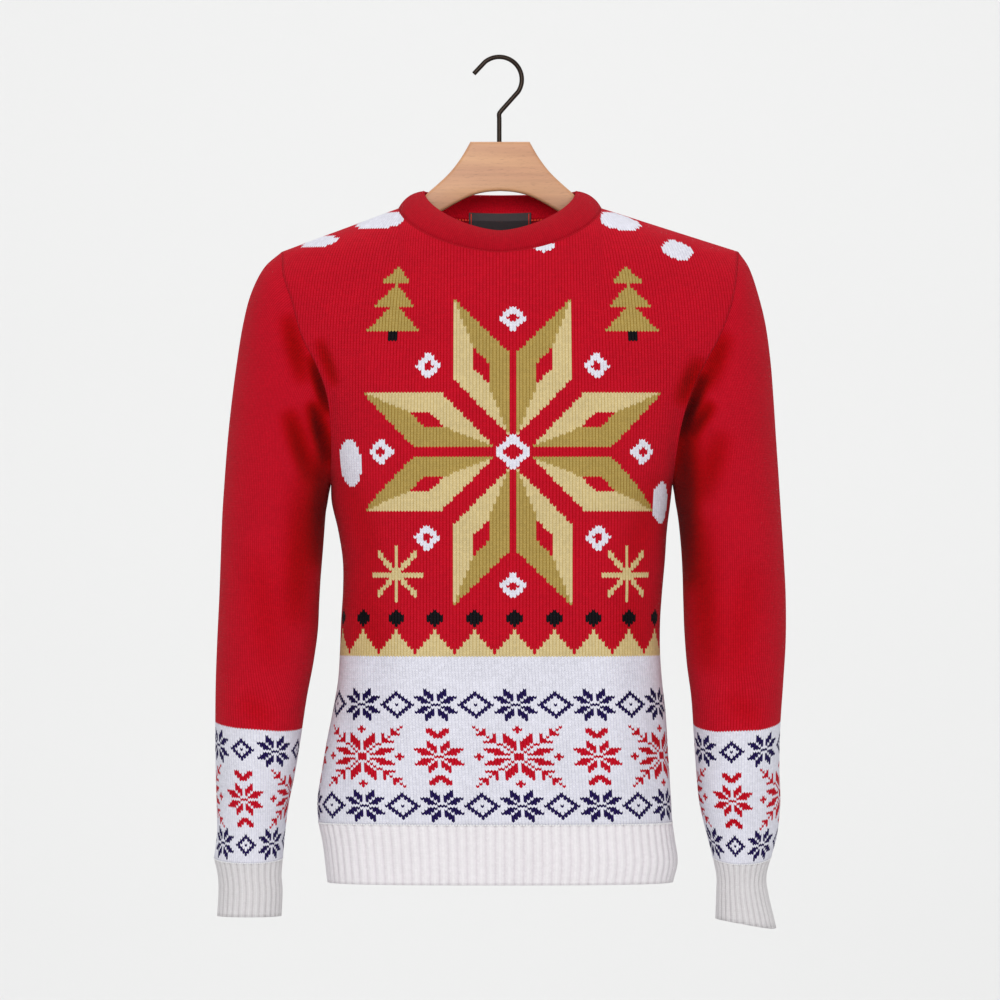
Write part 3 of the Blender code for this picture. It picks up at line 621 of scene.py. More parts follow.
def press(points, around, outward, sunk):
    """Sinks the points in their sheet, but not at its seams."""
    faded = sunk * edge_fade(*points.shape[:2], around)
    points -= normals(points, around, outward) * faded[..., None]


# Each sheet keeps the shade that its folds paint into the knit's colour.
painted_shade = {}
for name, points, outward in (("front", front, 1), ("back", back, -1)):
    sunk, painted_shade[name] = trough(points, FOLDS[name])
    press(points, False, outward, sunk)
for name, outward in (("right", 1), ("left", -1)):
    rings = sleeves[name]
    middle = rings[..., 1].mean(axis=1, keepdims=True)
    ahead = ease(0.5 + (middle - rings[..., 1]) / FRONT_TO_BACK)
    sunk, dark = trough(rings, FOLDS[name + ", in front"])
    sunk_behind, painted_shade_behind = trough(rings, FOLDS[name + ", behind"])
    painted_shade[name] = mix(painted_shade_behind, dark, ahead)
    press(rings, True, outward, mix(sunk_behind, sunk, ahead))
print("folds:", sum(len(rows) for rows in FOLDS.values()))


# %% [markdown]
# The knitter's own map of a piece counts stitches: wales across, courses up.
# It follows the cloth, so stitches keep their size wherever it turns. The
# patterns below are charted on this map. On the body a wale is 3.1 mm wide
# and a course 2.3 mm high; the sleeves are knitted a little tighter. The
# charts don't start at a piece's middle: they lie a few stitches to one side
# on the body, and are turned a little way round each arm.

# %% Count the stitches
WALE, COURSE = 3.1, 2.3
SLEEVE_WALE, SLEEVE_COURSE = 2.35, 2.26
BAND_WALES, HALF_REPEAT = 96.0, 24.0
# The body's chart lies this many mm aside. Below BAND_DROP it leans too.
CHART_ASIDE, BAND_DROP = 12.0, 560.0
LEAN, LEAN_DROP, LEAN_A_MM = 13.0, 606.0, 0.067
COUNT_TOP, COUNT_LEVELS = 100.0, 600
# The arm's chart is turned: degrees at TURN_DROP, and how many less for each
# mm below it.
CHART_TURNS = {"right": (104.0, 0.16), "left": (77.5, 0.04)}
TURN_DROP, LEAST_TURN, MOST_TURN = 670.0, 60.0, 130.0
# Lower down its wales are fitted to the chart, and its courses grow level.
FIT_DROP, FIT_OVER, LEVEL_DROP, LEVEL_OVER = 560.0, 50.0, 640.0, 60.0


def body_count(points, face):
    """Wales from the middle and courses from the hem seam, at each point."""
    drop = -points[..., 2] / MM
    steps = np.linalg.norm(np.diff(points, axis=1), axis=-1) / MM
    travelled = np.concatenate([np.zeros((len(points), 1)), np.cumsum(steps, axis=1)], axis=1)
    middle = points.shape[1] // 2
    across = travelled - travelled[:, middle : middle + 1]
    lean = LEAN + LEAN_A_MM * (drop - LEAN_DROP)
    levels = np.linspace(HEM_SEAM_DROP, COUNT_TOP, COUNT_LEVELS)
    slope = np.gradient(along(DEPTHS, face, levels), levels)
    height = np.concatenate([[0], np.cumsum(np.hypot(1, slope[1:]) * np.abs(np.diff(levels)))])
    up = np.interp(-drop, -levels, height)
    return (across - np.where(drop > BAND_DROP, lean, CHART_ASIDE)) / WALE, up / COURSE


def sleeve_count(rings, name):
    """Wales round the arm from the chart's middle, and courses from the cuff."""
    closed = np.concatenate([rings, rings[:, :1]], axis=1)
    steps = np.linalg.norm(np.diff(closed, axis=1), axis=-1) / MM
    travelled = np.concatenate([np.zeros((len(rings), 1)), np.cumsum(steps, axis=1)], axis=1)
    drop = -closed[..., 2].mean(axis=1) / MM
    turn, less = CHART_TURNS[name]
    turned = np.clip(turn - less * (drop - TURN_DROP), LEAST_TURN, MOST_TURN) / 360.0 * AROUND
    places = np.arange(AROUND + 1)
    start = np.array([np.interp(t, places, row) for t, row in zip(turned, travelled)])
    tight = travelled[:, -1] / BAND_WALES
    wale = mix(np.full(len(drop), SLEEVE_WALE), tight, ease((drop - FIT_DROP) / FIT_OVER))
    low = SLEEVES[name][-1][1]
    axis = unit(rings[-1].mean(axis=0) - rings[len(rings) // 3].mean(axis=0))
    end = rings[-1].mean(axis=0)
    up = (end - closed) @ axis / MM
    level = ease((drop[:, None] - LEVEL_DROP) / LEVEL_OVER)
    up = mix(up, low + closed[..., 2] / MM, level)
    return (travelled - start[:, None]) / wale[:, None] + HALF_REPEAT, up / SLEEVE_COURSE


counts = {"front": body_count(front, FRONT), "back": body_count(back, BACK)}
for name, rings in sleeves.items():
    counts[name] = sleeve_count(rings, name)
for name, (wales, courses) in counts.items():
    print(name, "wales", wales.min().round(), wales.max().round(), "courses", courses.max().round())


# %% [markdown]
# Neighbouring pieces share a seam line. Each is drawn back from it by half
# of the seam's gap, and all that meet there take one common direction for
# their thickness, so that no wall cuts into another.

# %% Part the pieces at the seams
def edge_points(points, around):
    """A sheet's edge points, each with the direction from it into the sheet."""
    found = {}
    for end, inner in ((0, 1), (-1, -2)):
        for column in range(points.shape[1]):
            step = unit(points[inner, column] - points[end, column])
            found[end % points.shape[0], column] = step
    if not around:
        for end, inner in ((0, 1), (-1, -2)):
            for row in range(points.shape[0]):
                step = unit(points[row, inner] - points[row, end])
                place = row, end % points.shape[1]
                found[place] = unit(found[place] + step) if place in found else step
    return found


def part_seams(sheets):
    """Draws sheets of (points, directions, around) back from shared seams."""
    meeting = {}
    for number, (points, _, around) in enumerate(sheets):
        for place, into in edge_points(points, around).items():
            key = tuple(np.round(points[place] / (0.01 * MM)).astype(int))
            meeting.setdefault(key, []).append((number, place, into))
    for members in meeting.values():
        flat = max(1, sum(not sheets[number][2] for number, _, _ in members))
        common = 0
        for number, place, _ in members:
            common = common + sheets[number][1][place] * (flat if sheets[number][2] else 1)
        common = unit(common)
        for number, place, into in members:
            others = [other for n, _, other in members if n != number]
            away = into - (sum(others) / len(others) if others else 0)
            away = unit(away - common * (common @ away))
            sheets[number][0][place] += away * SEAM_GAP / 2
            sheets[number][1][place] = common


def level(points, directions, row, drop):
    """A level seam: the wall's edge is level and half a gap from the seam."""
    above = points[row, :, 2].mean() < points[row - 1 if row else 1, :, 2].mean()
    points[row, :, 2] = -drop * MM + (SEAM_GAP if above else -SEAM_GAP) / 2
    directions[row, :, 2] = 0
    directions[row] = unit(directions[row])


def neck_edge(ahead, behind):
    """Values at the neck's columns, round the front and back along the back."""
    first, last = HALF_COLUMNS - NECK_COLUMNS, HALF_COLUMNS + NECK_COLUMNS
    return np.concatenate([ahead[-1, first:last], behind[-1, last:first:-1]])


facing = {
    "front": normals(front, False, 1),
    "back": normals(back, False, -1),
    "right": normals(sleeves["right"], True, 1),
    "left": normals(sleeves["left"], True, -1),
}
neck = neck_edge(front, back)
sheets = [(front, facing["front"], False), (back, facing["back"], False)]
sheets += [(sleeves[name], facing[name], True) for name in ("right", "left")]
part_seams(sheets)
neck_facing = neck_edge(facing["front"], facing["back"])
print("neck seam:", len(neck), "points")

# %% [markdown]
# Each piece is then made as a closed wall: one grid of faces is laid on the
# outer points, extruded, and the copy is moved to the inner points. Two maps
# go with it. One counts stitches; the other spreads the whole piece over a
# square once, for anyone who wants to bake it.

# %% From two sheets of points to one closed piece
def grid_on(points, around):
    """A bmesh grid laid on rows and columns of points, which its vertices keep."""
    rows, columns = points.shape[:2]
    spans = columns if around else columns - 1
    mesh = bmesh.new()
    bmesh.ops.create_grid(mesh, x_segments=spans, y_segments=rows - 1, size=0.5)
    row_of = mesh.verts.layers.int.new("row")
    column_of = mesh.verts.layers.int.new("column")
    mesh.verts.layers.int.new("deep")
    for vert in mesh.verts:
        vert[row_of] = round((vert.co.y + 0.5) * (rows - 1))
        vert[column_of] = round((vert.co.x + 0.5) * spans) % columns
        vert.co = points[vert[row_of], vert[column_of]]
    if around:
        bmesh.ops.remove_doubles(mesh, verts=mesh.verts, dist=1e-7)
    return mesh


def read(data, name):
    """A whole number kept with each vertex."""
    values = np.empty(len(data.vertices), np.int32)
    data.attributes[name].data.foreach_get("value", values)
    return values


def corners_of(data):
    """The vertex of each face corner, each face's first, and its face."""
    vertex = np.empty(len(data.loops), np.int32)
    data.loops.foreach_get("vertex_index", vertex)
    totals = np.empty(len(data.polygons), np.int32)
    data.polygons.foreach_get("loop_total", totals)
    starts = np.concatenate([[0], np.cumsum(totals)[:-1]])
    return vertex, starts, np.repeat(np.arange(len(totals)), totals)


def spots_of(data):
    """The places of a mesh's vertices, one a row."""
    spots = np.empty(len(data.vertices) * 3)
    data.vertices.foreach_get("co", spots)
    return spots.reshape(-1, 3)


# Of the baked map, a wall's outside takes the left part and its inside the
# right. The rim lies in the margin round the outside.
MARGIN, OUTSIDE_WIDTH, RIM_WIDTH = 0.012, 0.63, 0.006
INSIDE_START, INSIDE_WIDTH, RIM_STITCH = 0.665, 0.325, 0.8


def put_map(data, name, places):
    layer = data.uv_layers.new(name=name)
    layer.data.foreach_set("uv", places.astype(np.float32).ravel())


def map_piece(data, rows, columns, around, wales, courses):
    """Both maps of a wall, from the row, column and depth of its vertices."""
    vertex, starts, face = corners_of(data)
    row, column, deep = (read(data, kept)[vertex] for kept in ("row", "column", "deep"))
    spans = columns if around else columns - 1
    if around:
        widest = np.maximum.reduceat(column, starts)[face]
        narrowest = np.minimum.reduceat(column, starts)[face]
        column = np.where((widest - narrowest > spans / 2) & (column == 0), spans, column)
    any_deep = np.maximum.reduceat(deep, starts)[face]
    all_deep = np.minimum.reduceat(deep, starts)[face]
    inside, rim = all_deep == 1, (any_deep == 1) & (all_deep == 0) & (deep == 1)
    u, v = column / spans, row / (rows - 1)
    beyond_u = np.where(column == 0, -1.0, np.where(column == spans, 1.0, 0.0)) * (not around)
    beyond_v = np.where(row == 0, -1.0, np.where(row == rows - 1, 1.0, 0.0))
    spread_u = MARGIN + OUTSIDE_WIDTH * u + np.where(rim, RIM_WIDTH * beyond_u, 0)
    spread_u = np.where(inside, INSIDE_START + INSIDE_WIDTH * u, spread_u)
    spread_v = MARGIN + (1 - 2 * MARGIN) * v + np.where(rim, RIM_WIDTH * beyond_v, 0)
    put_map(data, "OFBake", np.stack([spread_u, spread_v], axis=-1))
    stitch = np.stack([wales[row, column], courses[row, column]], axis=-1)
    stitch += np.where(rim, 1, 0)[:, None] * np.stack([beyond_u, beyond_v], axis=-1) * RIM_STITCH
    put_map(data, "Stitches", stitch)
    data.polygons.foreach_set("material_index", inside[starts].astype(np.int32))


def show(name, data):
    """Links a mesh as a piece that rides with the sweater."""
    data.shade_smooth()
    made = placed(name, data)
    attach(made, "root")
    return made


def walled(name, outer, inner, around, count, finishes, crease=None):
    """A closed wall between two sheets of points, as a finished piece."""
    mesh = grid_on(outer, around)
    row_of, column_of = mesh.verts.layers.int["row"], mesh.verts.layers.int["column"]
    deep_of = mesh.verts.layers.int["deep"]
    pulled = bmesh.ops.extrude_face_region(mesh, geom=mesh.faces[:], use_keep_orig=True)
    for item in pulled["geom"]:
        if isinstance(item, bmesh.types.BMVert):
            item[deep_of] = 1
            item.co = inner[item[row_of], item[column_of]]
    data = finished_mesh(mesh, name)
    map_piece(data, *outer.shape[:2], around, *count)
    # Painted shade from the folds and from the body's shadow, kept with each vertex.
    if crease is not None:
        layer = data.attributes.new("Crease", "FLOAT", "POINT")
        darkness = crease[read(data, "row"), read(data, "column")]
        layer.data.foreach_set("value", darkness.astype(np.float32))
    for finish in finishes:
        data.materials.append(finish)
    made = show(name, data)
    print(name, len(data.polygons), "faces")
    return made


# %% [markdown]
# ## Yarn
# The face of a plain knit is columns of V-shaped stitches. A wale is one
# column and a course is one row. An image could show this, but a formula on
# the stitch map stays sharp at any distance and lets a colour change fall
# exactly on a stitch, as it does in real knitting. Shader nodes do one sum
# each, so a small class turns ordinary arithmetic into Math nodes.

# %% Arithmetic that builds nodes
class Amount:
    """A number in a node tree. Arithmetic on it adds Math nodes."""

    def __init__(self, tree, socket):
        self.tree, self.socket = tree, socket

    def math(self, operation, *others):
        node = self.tree.nodes.new("ShaderNodeMath")
        node.operation = operation
        for slot, value in zip(node.inputs, (self, *others)):
            feed(self.tree, value, slot)
        return Amount(self.tree, node.outputs[0])

    def __add__(self, other):
        return self.math("ADD", other)

    def __sub__(self, other):
        return self.math("SUBTRACT", other)

    def __rsub__(self, other):
        return self.math("MULTIPLY_ADD", -1.0, other)

    def __mul__(self, other):
        return self.math("MULTIPLY", other)

    def __truediv__(self, other):
        return self.math("DIVIDE", other)

    def __pow__(self, other):
        return self.math("POWER", other)

    def __le__(self, other):
        return self.math("LESS_THAN", other + HALF_STEP)

    def __ge__(self, other):
        return self.math("GREATER_THAN", other - HALF_STEP)

    def __and__(self, other):
        return self.math("MULTIPLY", other)

    def __or__(self, other):
        return self.math("MAXIMUM", other)

    def __abs__(self):
        return self.math("ABSOLUTE")

    def floor(self):
        return self.math("FLOOR")

    def from_nearest(self, step):
        """Distance to the nearest whole multiple of a step."""
        return abs(self.math("WRAP", step / 2, -step / 2))


HALF_STEP = 0.01


def feed(tree, value, slot):
    """Puts a number, a colour or another node's output into a socket."""
    if isinstance(value, Amount):
        tree.links.new(value.socket, slot)
    elif isinstance(value, bpy.types.NodeSocket):
        tree.links.new(value, slot)
    else:
        slot.default_value = value


def add_node(tree, kind, settings=(), **inputs):
    """A node with its settings made and its inputs fed, by name."""
    node = tree.nodes.new(kind)
    for setting, value in dict(settings).items():
        setattr(node, setting, value)
    for slot, value in inputs.items():
        feed(tree, value, node.inputs[slot.replace("_", " ")])
    return node


def new_group(name, inputs, outputs):
    """An empty node group with named sockets, and its two ends."""
    tree = bpy.data.node_groups.new(name, "ShaderNodeTree")
    for socket, kind in inputs.items():
        tree.interface.new_socket(name=socket, in_out="INPUT", socket_type="NodeSocket" + kind)
    for socket, kind in outputs.items():
        tree.interface.new_socket(name=socket, in_out="OUTPUT", socket_type="NodeSocket" + kind)
    entry, leaving = tree.nodes.new("NodeGroupInput"), tree.nodes.new("NodeGroupOutput")
    taken = {name: Amount(tree, entry.outputs[name]) for name in inputs if inputs[name] == "Float"}
    return tree, taken, entry.outputs, leaving.inputs


def put_group(tree, group, **inputs):
    """Places a group in a tree and returns its outputs by name."""
    node = add_node(tree, "ShaderNodeGroup", {"node_tree": group}, **inputs)
    return {socket.name: Amount(tree, socket) for socket in node.outputs}


def start_finish(name, colour=(0.8, 0.8, 0.8), roughness=0.9):
    """A material, its tree, its shader and the places on the object."""
    made = plain(name, colour, roughness)
    spot = add_node(made.node_tree, "ShaderNodeTexCoord").outputs["Object"]
    return made, made.node_tree, made.node_tree.nodes["Principled BSDF"], spot


def noise(tree, place, scale, detail, stretch=None):
    """Soft noise from 0 to 1, finer along the axes with a larger stretch."""
    if stretch:
        place = add_node(tree, "ShaderNodeMapping", Vector=place, Scale=stretch).outputs["Vector"]
    found = add_node(tree, "ShaderNodeTexNoise", Vector=place, Scale=scale, Detail=detail)
    return Amount(tree, found.outputs["Fac"])


def tint(tree, shader, colour, light, **more):
    """Gives a shader its colour, made lighter and darker by an amount."""
    tinted = add_node(tree, "ShaderNodeHueSaturation", Value=light, Color=(*colour, 1.0), **more)
    feed(tree, tinted.outputs["Color"], shader.inputs["Base Color"])


def raise_bump(tree, shader, height, strength, distance):
    """Raises a shader's surface by a height of up to a distance."""
    bump = add_node(tree, "ShaderNodeBump", Strength=strength, Distance=distance, Height=height)
    feed(tree, bump.outputs["Normal"], shader.inputs["Normal"])


# %% [markdown]
# One group holds the stitch itself. Inside a wale the course line is bent
# down towards the middle, which makes the V. The relief is a rounded leg on
# each side of a shallow crease, and the shade is the dark that gathers
# between two wales. It also says which stitch a point belongs to, so that
# the charts can colour whole stitches.

# %% The knitted stitch
V_DEPTH = 0.6


def build_stitch():
    tree, taken, entry, leaving = new_group(
        "knitted_stitch",
        {"Place": "Vector"},
        {"Wale": "Float", "Course": "Float", "Relief": "Float", "Shade": "Float", "Speck": "Float"},
    )
    apart = add_node(tree, "ShaderNodeSeparateXYZ", Vector=entry["Place"])
    u, v = Amount(tree, apart.outputs["X"]), Amount(tree, apart.outputs["Y"])
    wale = u.floor()
    sideways = abs((u - wale) * 2.0 - 1.0)
    bent = v - sideways * V_DEPTH
    course = bent.floor()
    leg = (((bent - course) * math.pi).math("SINE")) ** 0.6
    between = sideways**5.0
    crease = (1.0 - sideways) ** 7.0
    relief = leg * (1.0 - between * 0.9) * (1.0 - crease * 0.45)
    shade = between * 0.95 + (1.0 - leg) ** 3.0 * 0.3 + crease * 0.12
    cell = add_node(tree, "ShaderNodeCombineXYZ", X=wale, Y=course)
    chance = add_node(tree, "ShaderNodeTexWhiteNoise", Vector=cell.outputs["Vector"])
    for name, value in (("Wale", wale), ("Course", course), ("Relief", relief), ("Shade", shade)):
        feed(tree, value, leaving[name])
    feed(tree, chance.outputs["Value"], leaving["Speck"])
    print("stitch group:", len(tree.nodes), "nodes")
    return tree


knitted_stitch = build_stitch()

# %% [markdown]
# ## The patterned band
# Stranded knitting from the north is drawn on squared paper: stars with
# eight petals, diamonds and snow crystals, each the same left and right, top
# and bottom. So a motif needs only its distances across and up from the
# middle stitch. Every rule below is one stroke of such a drawing.

# %% Charts of the motifs
def star(across, up):
    """An eight-petal star of thirteen stitches."""
    high, low = across.math("MAXIMUM", up), across.math("MINIMUM", up)
    petals = (low >= 1) & (low <= 3) & (high >= low + 1) & (high <= low + 3)
    return petals | ((across <= 1) & (up <= 0))


def diamond(across, up, reach):
    """A double line round a dot."""
    out = across + up
    return ((out >= reach - 1) & (out <= reach)) | (out <= 0)


def rose(across, up):
    """A small star with chevrons over and under it."""
    flat = (up >= 1) & (up <= 3) & (across >= up + 1) & (across <= up + 4)
    steep = (across >= 1) & (across <= 3) & (up >= across + 1) & (up <= across + 3)
    middle = (across <= 1) & (up <= 0)
    rise = up - across
    chevrons = (across <= 3) & (rise >= 7) & (rise <= 9) & (up >= 8) & (up <= 11)
    return flat | steep | middle | chevrons


def crystal(across, up):
    """A large snow crystal: a star, four long arms and twigs on them."""
    middle = (across <= 1) & (up <= 1)
    rising = (across >= 1) & (across <= 4) & (up >= across + 2) & (up <= across + 5)
    lying = (up >= 1) & (up <= 3) & (across >= up * 1.5 + 1.5) & (across <= up * 1.5 + 6)
    arms = (abs(across - up) <= 0) & (across >= 2) & (across <= 5)
    arms = arms | ((abs(across - up - 1) <= 0) & (across >= 6) & (across <= 13))
    twigs = (abs(across - 7) <= 0) & (up >= 6) & (up <= 9)
    twigs = twigs | ((abs(up - 6) <= 0) & (across >= 7) & (across <= 10))
    corners = (across >= 10) & (up >= 9) & (across + up <= 21)
    dots = (abs(across - 12) + up <= 1) | (across + abs(up - 11) <= 1)
    return middle | rising | lying | arms | twigs | corners | dots


def build_band():
    """The whole band: navy stars over and under a row of red crystals."""
    names = ("Wale", "Course", "Star Shift", "Low Row", "Middle Row", "Top Row", "Diamond")
    tree, taken, entry, leaving = new_group(
        "patterned_band", {name: "Float" for name in names}, {"Navy": "Float", "Red": "Float"}
    )
    course = taken["Course"]
    narrow = (taken["Wale"] + taken["Star Shift"]).from_nearest(24)
    wide = taken["Wale"].from_nearest(48)
    edge_row = abs(course - taken["Low Row"]).math("MINIMUM", abs(course - taken["Top Row"]))
    middle_row = abs(course - taken["Middle Row"])
    navy = star(narrow, edge_row) | diamond(12 - narrow, edge_row, taken["Diamond"])
    red = crystal(wide, middle_row) | rose(24 - wide, middle_row)
    feed(tree, navy, leaving["Navy"])
    feed(tree, red, leaving["Red"])
    print("band group:", len(tree.nodes), "nodes")
    return tree


patterned_band = build_band()

# %% [markdown]
# ## The chest
# A large star in two shades of straw fills the chest, with firs above it,
# crystals below and a row of peaks and beads along the white band. It is
# measured in millimetres from the star's middle, one value for each whole
# stitch. Left and right are alike, so x is only how far a stitch is aside.

# %% Chest design
BODY_BAND_TOP, STAR_COURSE = 68.0, 151.0
PETAL_GAP, PETAL_WIDTH, PETAL_START, PETAL_LENGTH, LOZENGE = 4.4, 55.0, 13.0, 88.0, 0.12
FIR_ASIDE, FIR_BASE, FIR_HEIGHT, FIR_TIER, FIR_WIDTH = 116.0, 112.0, 66.0, 23.0, 27.0
FIR_TAPER, TIER_STEP, TRUNK_WIDTH, TRUNK_HEIGHT = 0.22, 17.0, 3.5, 9.0
CRYSTAL_ASIDE, CRYSTAL_DOWN, CRYSTAL_REACH, CRYSTAL_SLANT = 110.0, 114.0, 27.0, 19.0
TWIG, SLANTED_TWIG = 2.4, 3.2
GEM_SLANT, GEM_STRAIGHT, GEM_SIZE, GEM_HEART = 80.0, 125.0, 13.0, 5.5
MIDDLE_GEM, MIDDLE_HEART = 18.0, 9.0
PEAK_WALES, PEAK_COURSES, PEAK_SLOPE = 12, 10, 1.6
BEAD_COURSE, BEAD_SIZE, BEAD_SLOPE = 15, 3.5, 1.2


def chest_design(wale, course):
    """Masks of the chest's colours, each over the ones before it."""
    x = abs((wale + 0.5) * WALE)
    z = (course + 0.5 - STAR_COURSE) * COURSE
    y = abs(z)
    high, low = x.math("MAXIMUM", y), x.math("MINIMUM", y)
    across = (low - PETAL_GAP) / (PETAL_WIDTH - PETAL_GAP)
    out = (high - low - PETAL_START) / (PETAL_LENGTH - PETAL_START)
    petals = (across >= 0) & (across <= 1) & (out >= 0) & (out <= 1)
    shaded = petals & (out >= across)
    lozenge = (abs(across - 0.5) <= LOZENGE) & (abs(out - 0.5) <= LOZENGE)
    fir_x, fir_z = abs(x - FIR_ASIDE), z - FIR_BASE
    tier = fir_z / FIR_TIER
    boughs = FIR_WIDTH - fir_z * FIR_TAPER - (tier - tier.floor()) * TIER_STEP
    fir = (fir_z >= 0) & (fir_z <= FIR_HEIGHT) & (fir_x <= boughs)
    trunk = (fir_x <= TRUNK_WIDTH) & (fir_z >= -TRUNK_HEIGHT) & (fir_z <= 0)
    twig_x, twig_z = abs(x - CRYSTAL_ASIDE), abs(z + CRYSTAL_DOWN)
    crystals = (twig_x <= TWIG) & (twig_z <= CRYSTAL_REACH)
    crystals = crystals | (twig_z <= TWIG) & (twig_x <= CRYSTAL_REACH)
    crystals = crystals | (abs(twig_x - twig_z) <= SLANTED_TWIG) & (twig_x <= CRYSTAL_SLANT)
    gems = (abs(x - GEM_SLANT) + abs(y - GEM_SLANT)).math("MINIMUM", x + abs(y - GEM_STRAIGHT))
    gems = gems.math("MINIMUM", y + abs(x - GEM_STRAIGHT))
    middle = x + y
    from_band = course - BODY_BAND_TOP
    aside = wale.from_nearest(PEAK_WALES)
    peaks = from_band + aside * PEAK_SLOPE <= PEAK_COURSES
    beads = aside * BEAD_SLOPE + abs(from_band - BEAD_COURSE) <= BEAD_SIZE
    return [
        ("straw", petals | crystals | peaks),
        ("gold", shaded | fir),
        ("red", lozenge),
        ("black", trunk | beads),
        ("white", (gems <= GEM_SIZE) | (middle <= MIDDLE_GEM)),
        ("red", (gems <= GEM_HEART) | (middle <= MIDDLE_HEART)),
    ]


# %% [markdown]
# White snowballs are scattered over the shoulders, the chest and the back.
# Each is given where it shows, and the stitch map says which stitches lie
# there.

# %% Snowballs
SNOWBALLS = {
    # x, drop, half width, half height
    "front": (
        (-139.5, 380.0, 10.2, 21.8),
        (150.5, 417.5, 6.2, 19.0),
        (-112.6, 152.0, 20.5, 9.5),
        (-170.0, 172.0, 13.0, 6.0),
        (113.0, 154.0, 16.5, 9.0),
        (165.5, 182.5, 14.0, 7.6),
        (42.0, 178.0, 10.0, 5.0),
    ),
    "back": (
        (-104.0, 158.0, 18.0, 12.0),
        (-60.0, 236.0, 15.0, 20.0),
        (96.0, 196.0, 15.0, 18.0),
        (128.0, 330.0, 13.0, 21.0),
        (-128.0, 360.0, 12.0, 21.0),
        (20.0, 300.0, 15.0, 20.0),
        (-36.0, 452.0, 14.0, 21.0),
        (76.0, 500.0, 15.0, 20.0),
    ),
}


def stitch_at(name, x, drop):
    """Wale and course of a panel's point nearest to a place."""
    points = front if name == "front" else back
    away = np.hypot(points[..., 0] / MM - x, -points[..., 2] / MM - drop)
    nearest = np.unravel_index(away.argmin(), away.shape)
    wales, courses = counts[name]
    return wales[nearest], courses[nearest]


def snowballs(name, wale, course):
    """A mask of every snowball on a panel."""
    found = None
    for x, drop, half_across, half_up in SNOWBALLS[name]:
        wale_0, course_0 = stitch_at(name, x, drop)
        ends = [stitch_at(name, x + aside, drop)[0] for aside in (half_across, -half_across)]
        reach = (ends[0] - ends[1]) / 2
        rise = max(abs(course_0 - stitch_at(name, x, drop + half_up)[1]), half_up / COURSE)
        across = (wale + (0.5 - wale_0)) * (1 / reach)
        up = (course + (0.5 - course_0)) * (1 / rise)
        ball = across * across + up * up <= 1.0
        found = ball if found is None else found | ball
    return found


# %% [markdown]
# ## Knitted finishes
# All the knit shares one recipe. The charts choose a yarn for each stitch,
# a little chance makes neighbours differ, a higher gamma paints shade into
# the colour between the wales and in the folds, and the relief raises it.
# Gamma darkens red far more than white, as light that bounces about in a gap
# does. Wool scatters light, so the shine is low and a thin sheen softens the
# edges.

# %% Knitted finishes
STITCHES_A_RIB = 3.0
YARNS = {
    "red": (0.530, 0.0070, 0.0245),
    "white": (0.760, 0.757, 0.830),
    "rib white": (0.836, 0.808, 0.830),
    # The hem's white, painted darker at the cuffs, where less light reaches them.
    "cuff white": (0.775, 0.755, 0.765),
    "neckband red": (0.430, 0.0042, 0.0165),
    # The neckband's red, painted lighter inside the collar, where the band keeps light out.
    "neckband inside": (0.740, 0.0080, 0.0300),
    "navy": (0.019, 0.010, 0.085),
    "straw": (0.660, 0.540, 0.290),
    "gold": (0.440, 0.320, 0.100),
    "black": (0.010, 0.009, 0.012),
}


def dye(tree, colour, mask, yarn):
    """Lays a yarn over a colour wherever its mask is 1."""
    node = add_node(tree, "ShaderNodeMix", {"data_type": "RGBA"})
    feed(tree, mask, node.inputs["Factor"])
    if isinstance(colour, str):
        feed(tree, (*YARNS[colour], 1.0), node.inputs[6])
    else:
        feed(tree, colour, node.inputs[6])
    feed(tree, (*YARNS[yarn], 1.0), node.inputs[7])
    return node.outputs[2]


# How fine the fuzz and the clouds are, how much each thing changes the light,
# how much shade is painted into grooves and folds, and how high the relief
# stands.
FUZZ_SCALE, CLOUD_SCALE = 1400.0, 22.0
SPECK_LIGHT, FUZZ_LIGHT, CLOUD_LIGHT = 0.10, 0.30, 0.14
GROOVE_PAINTED_SHADE, FOLD_PAINTED_SHADE, FUZZ_RELIEF, RELIEF_HEIGHT = 0.75, 1.5, 0.25, 0.7 * MM


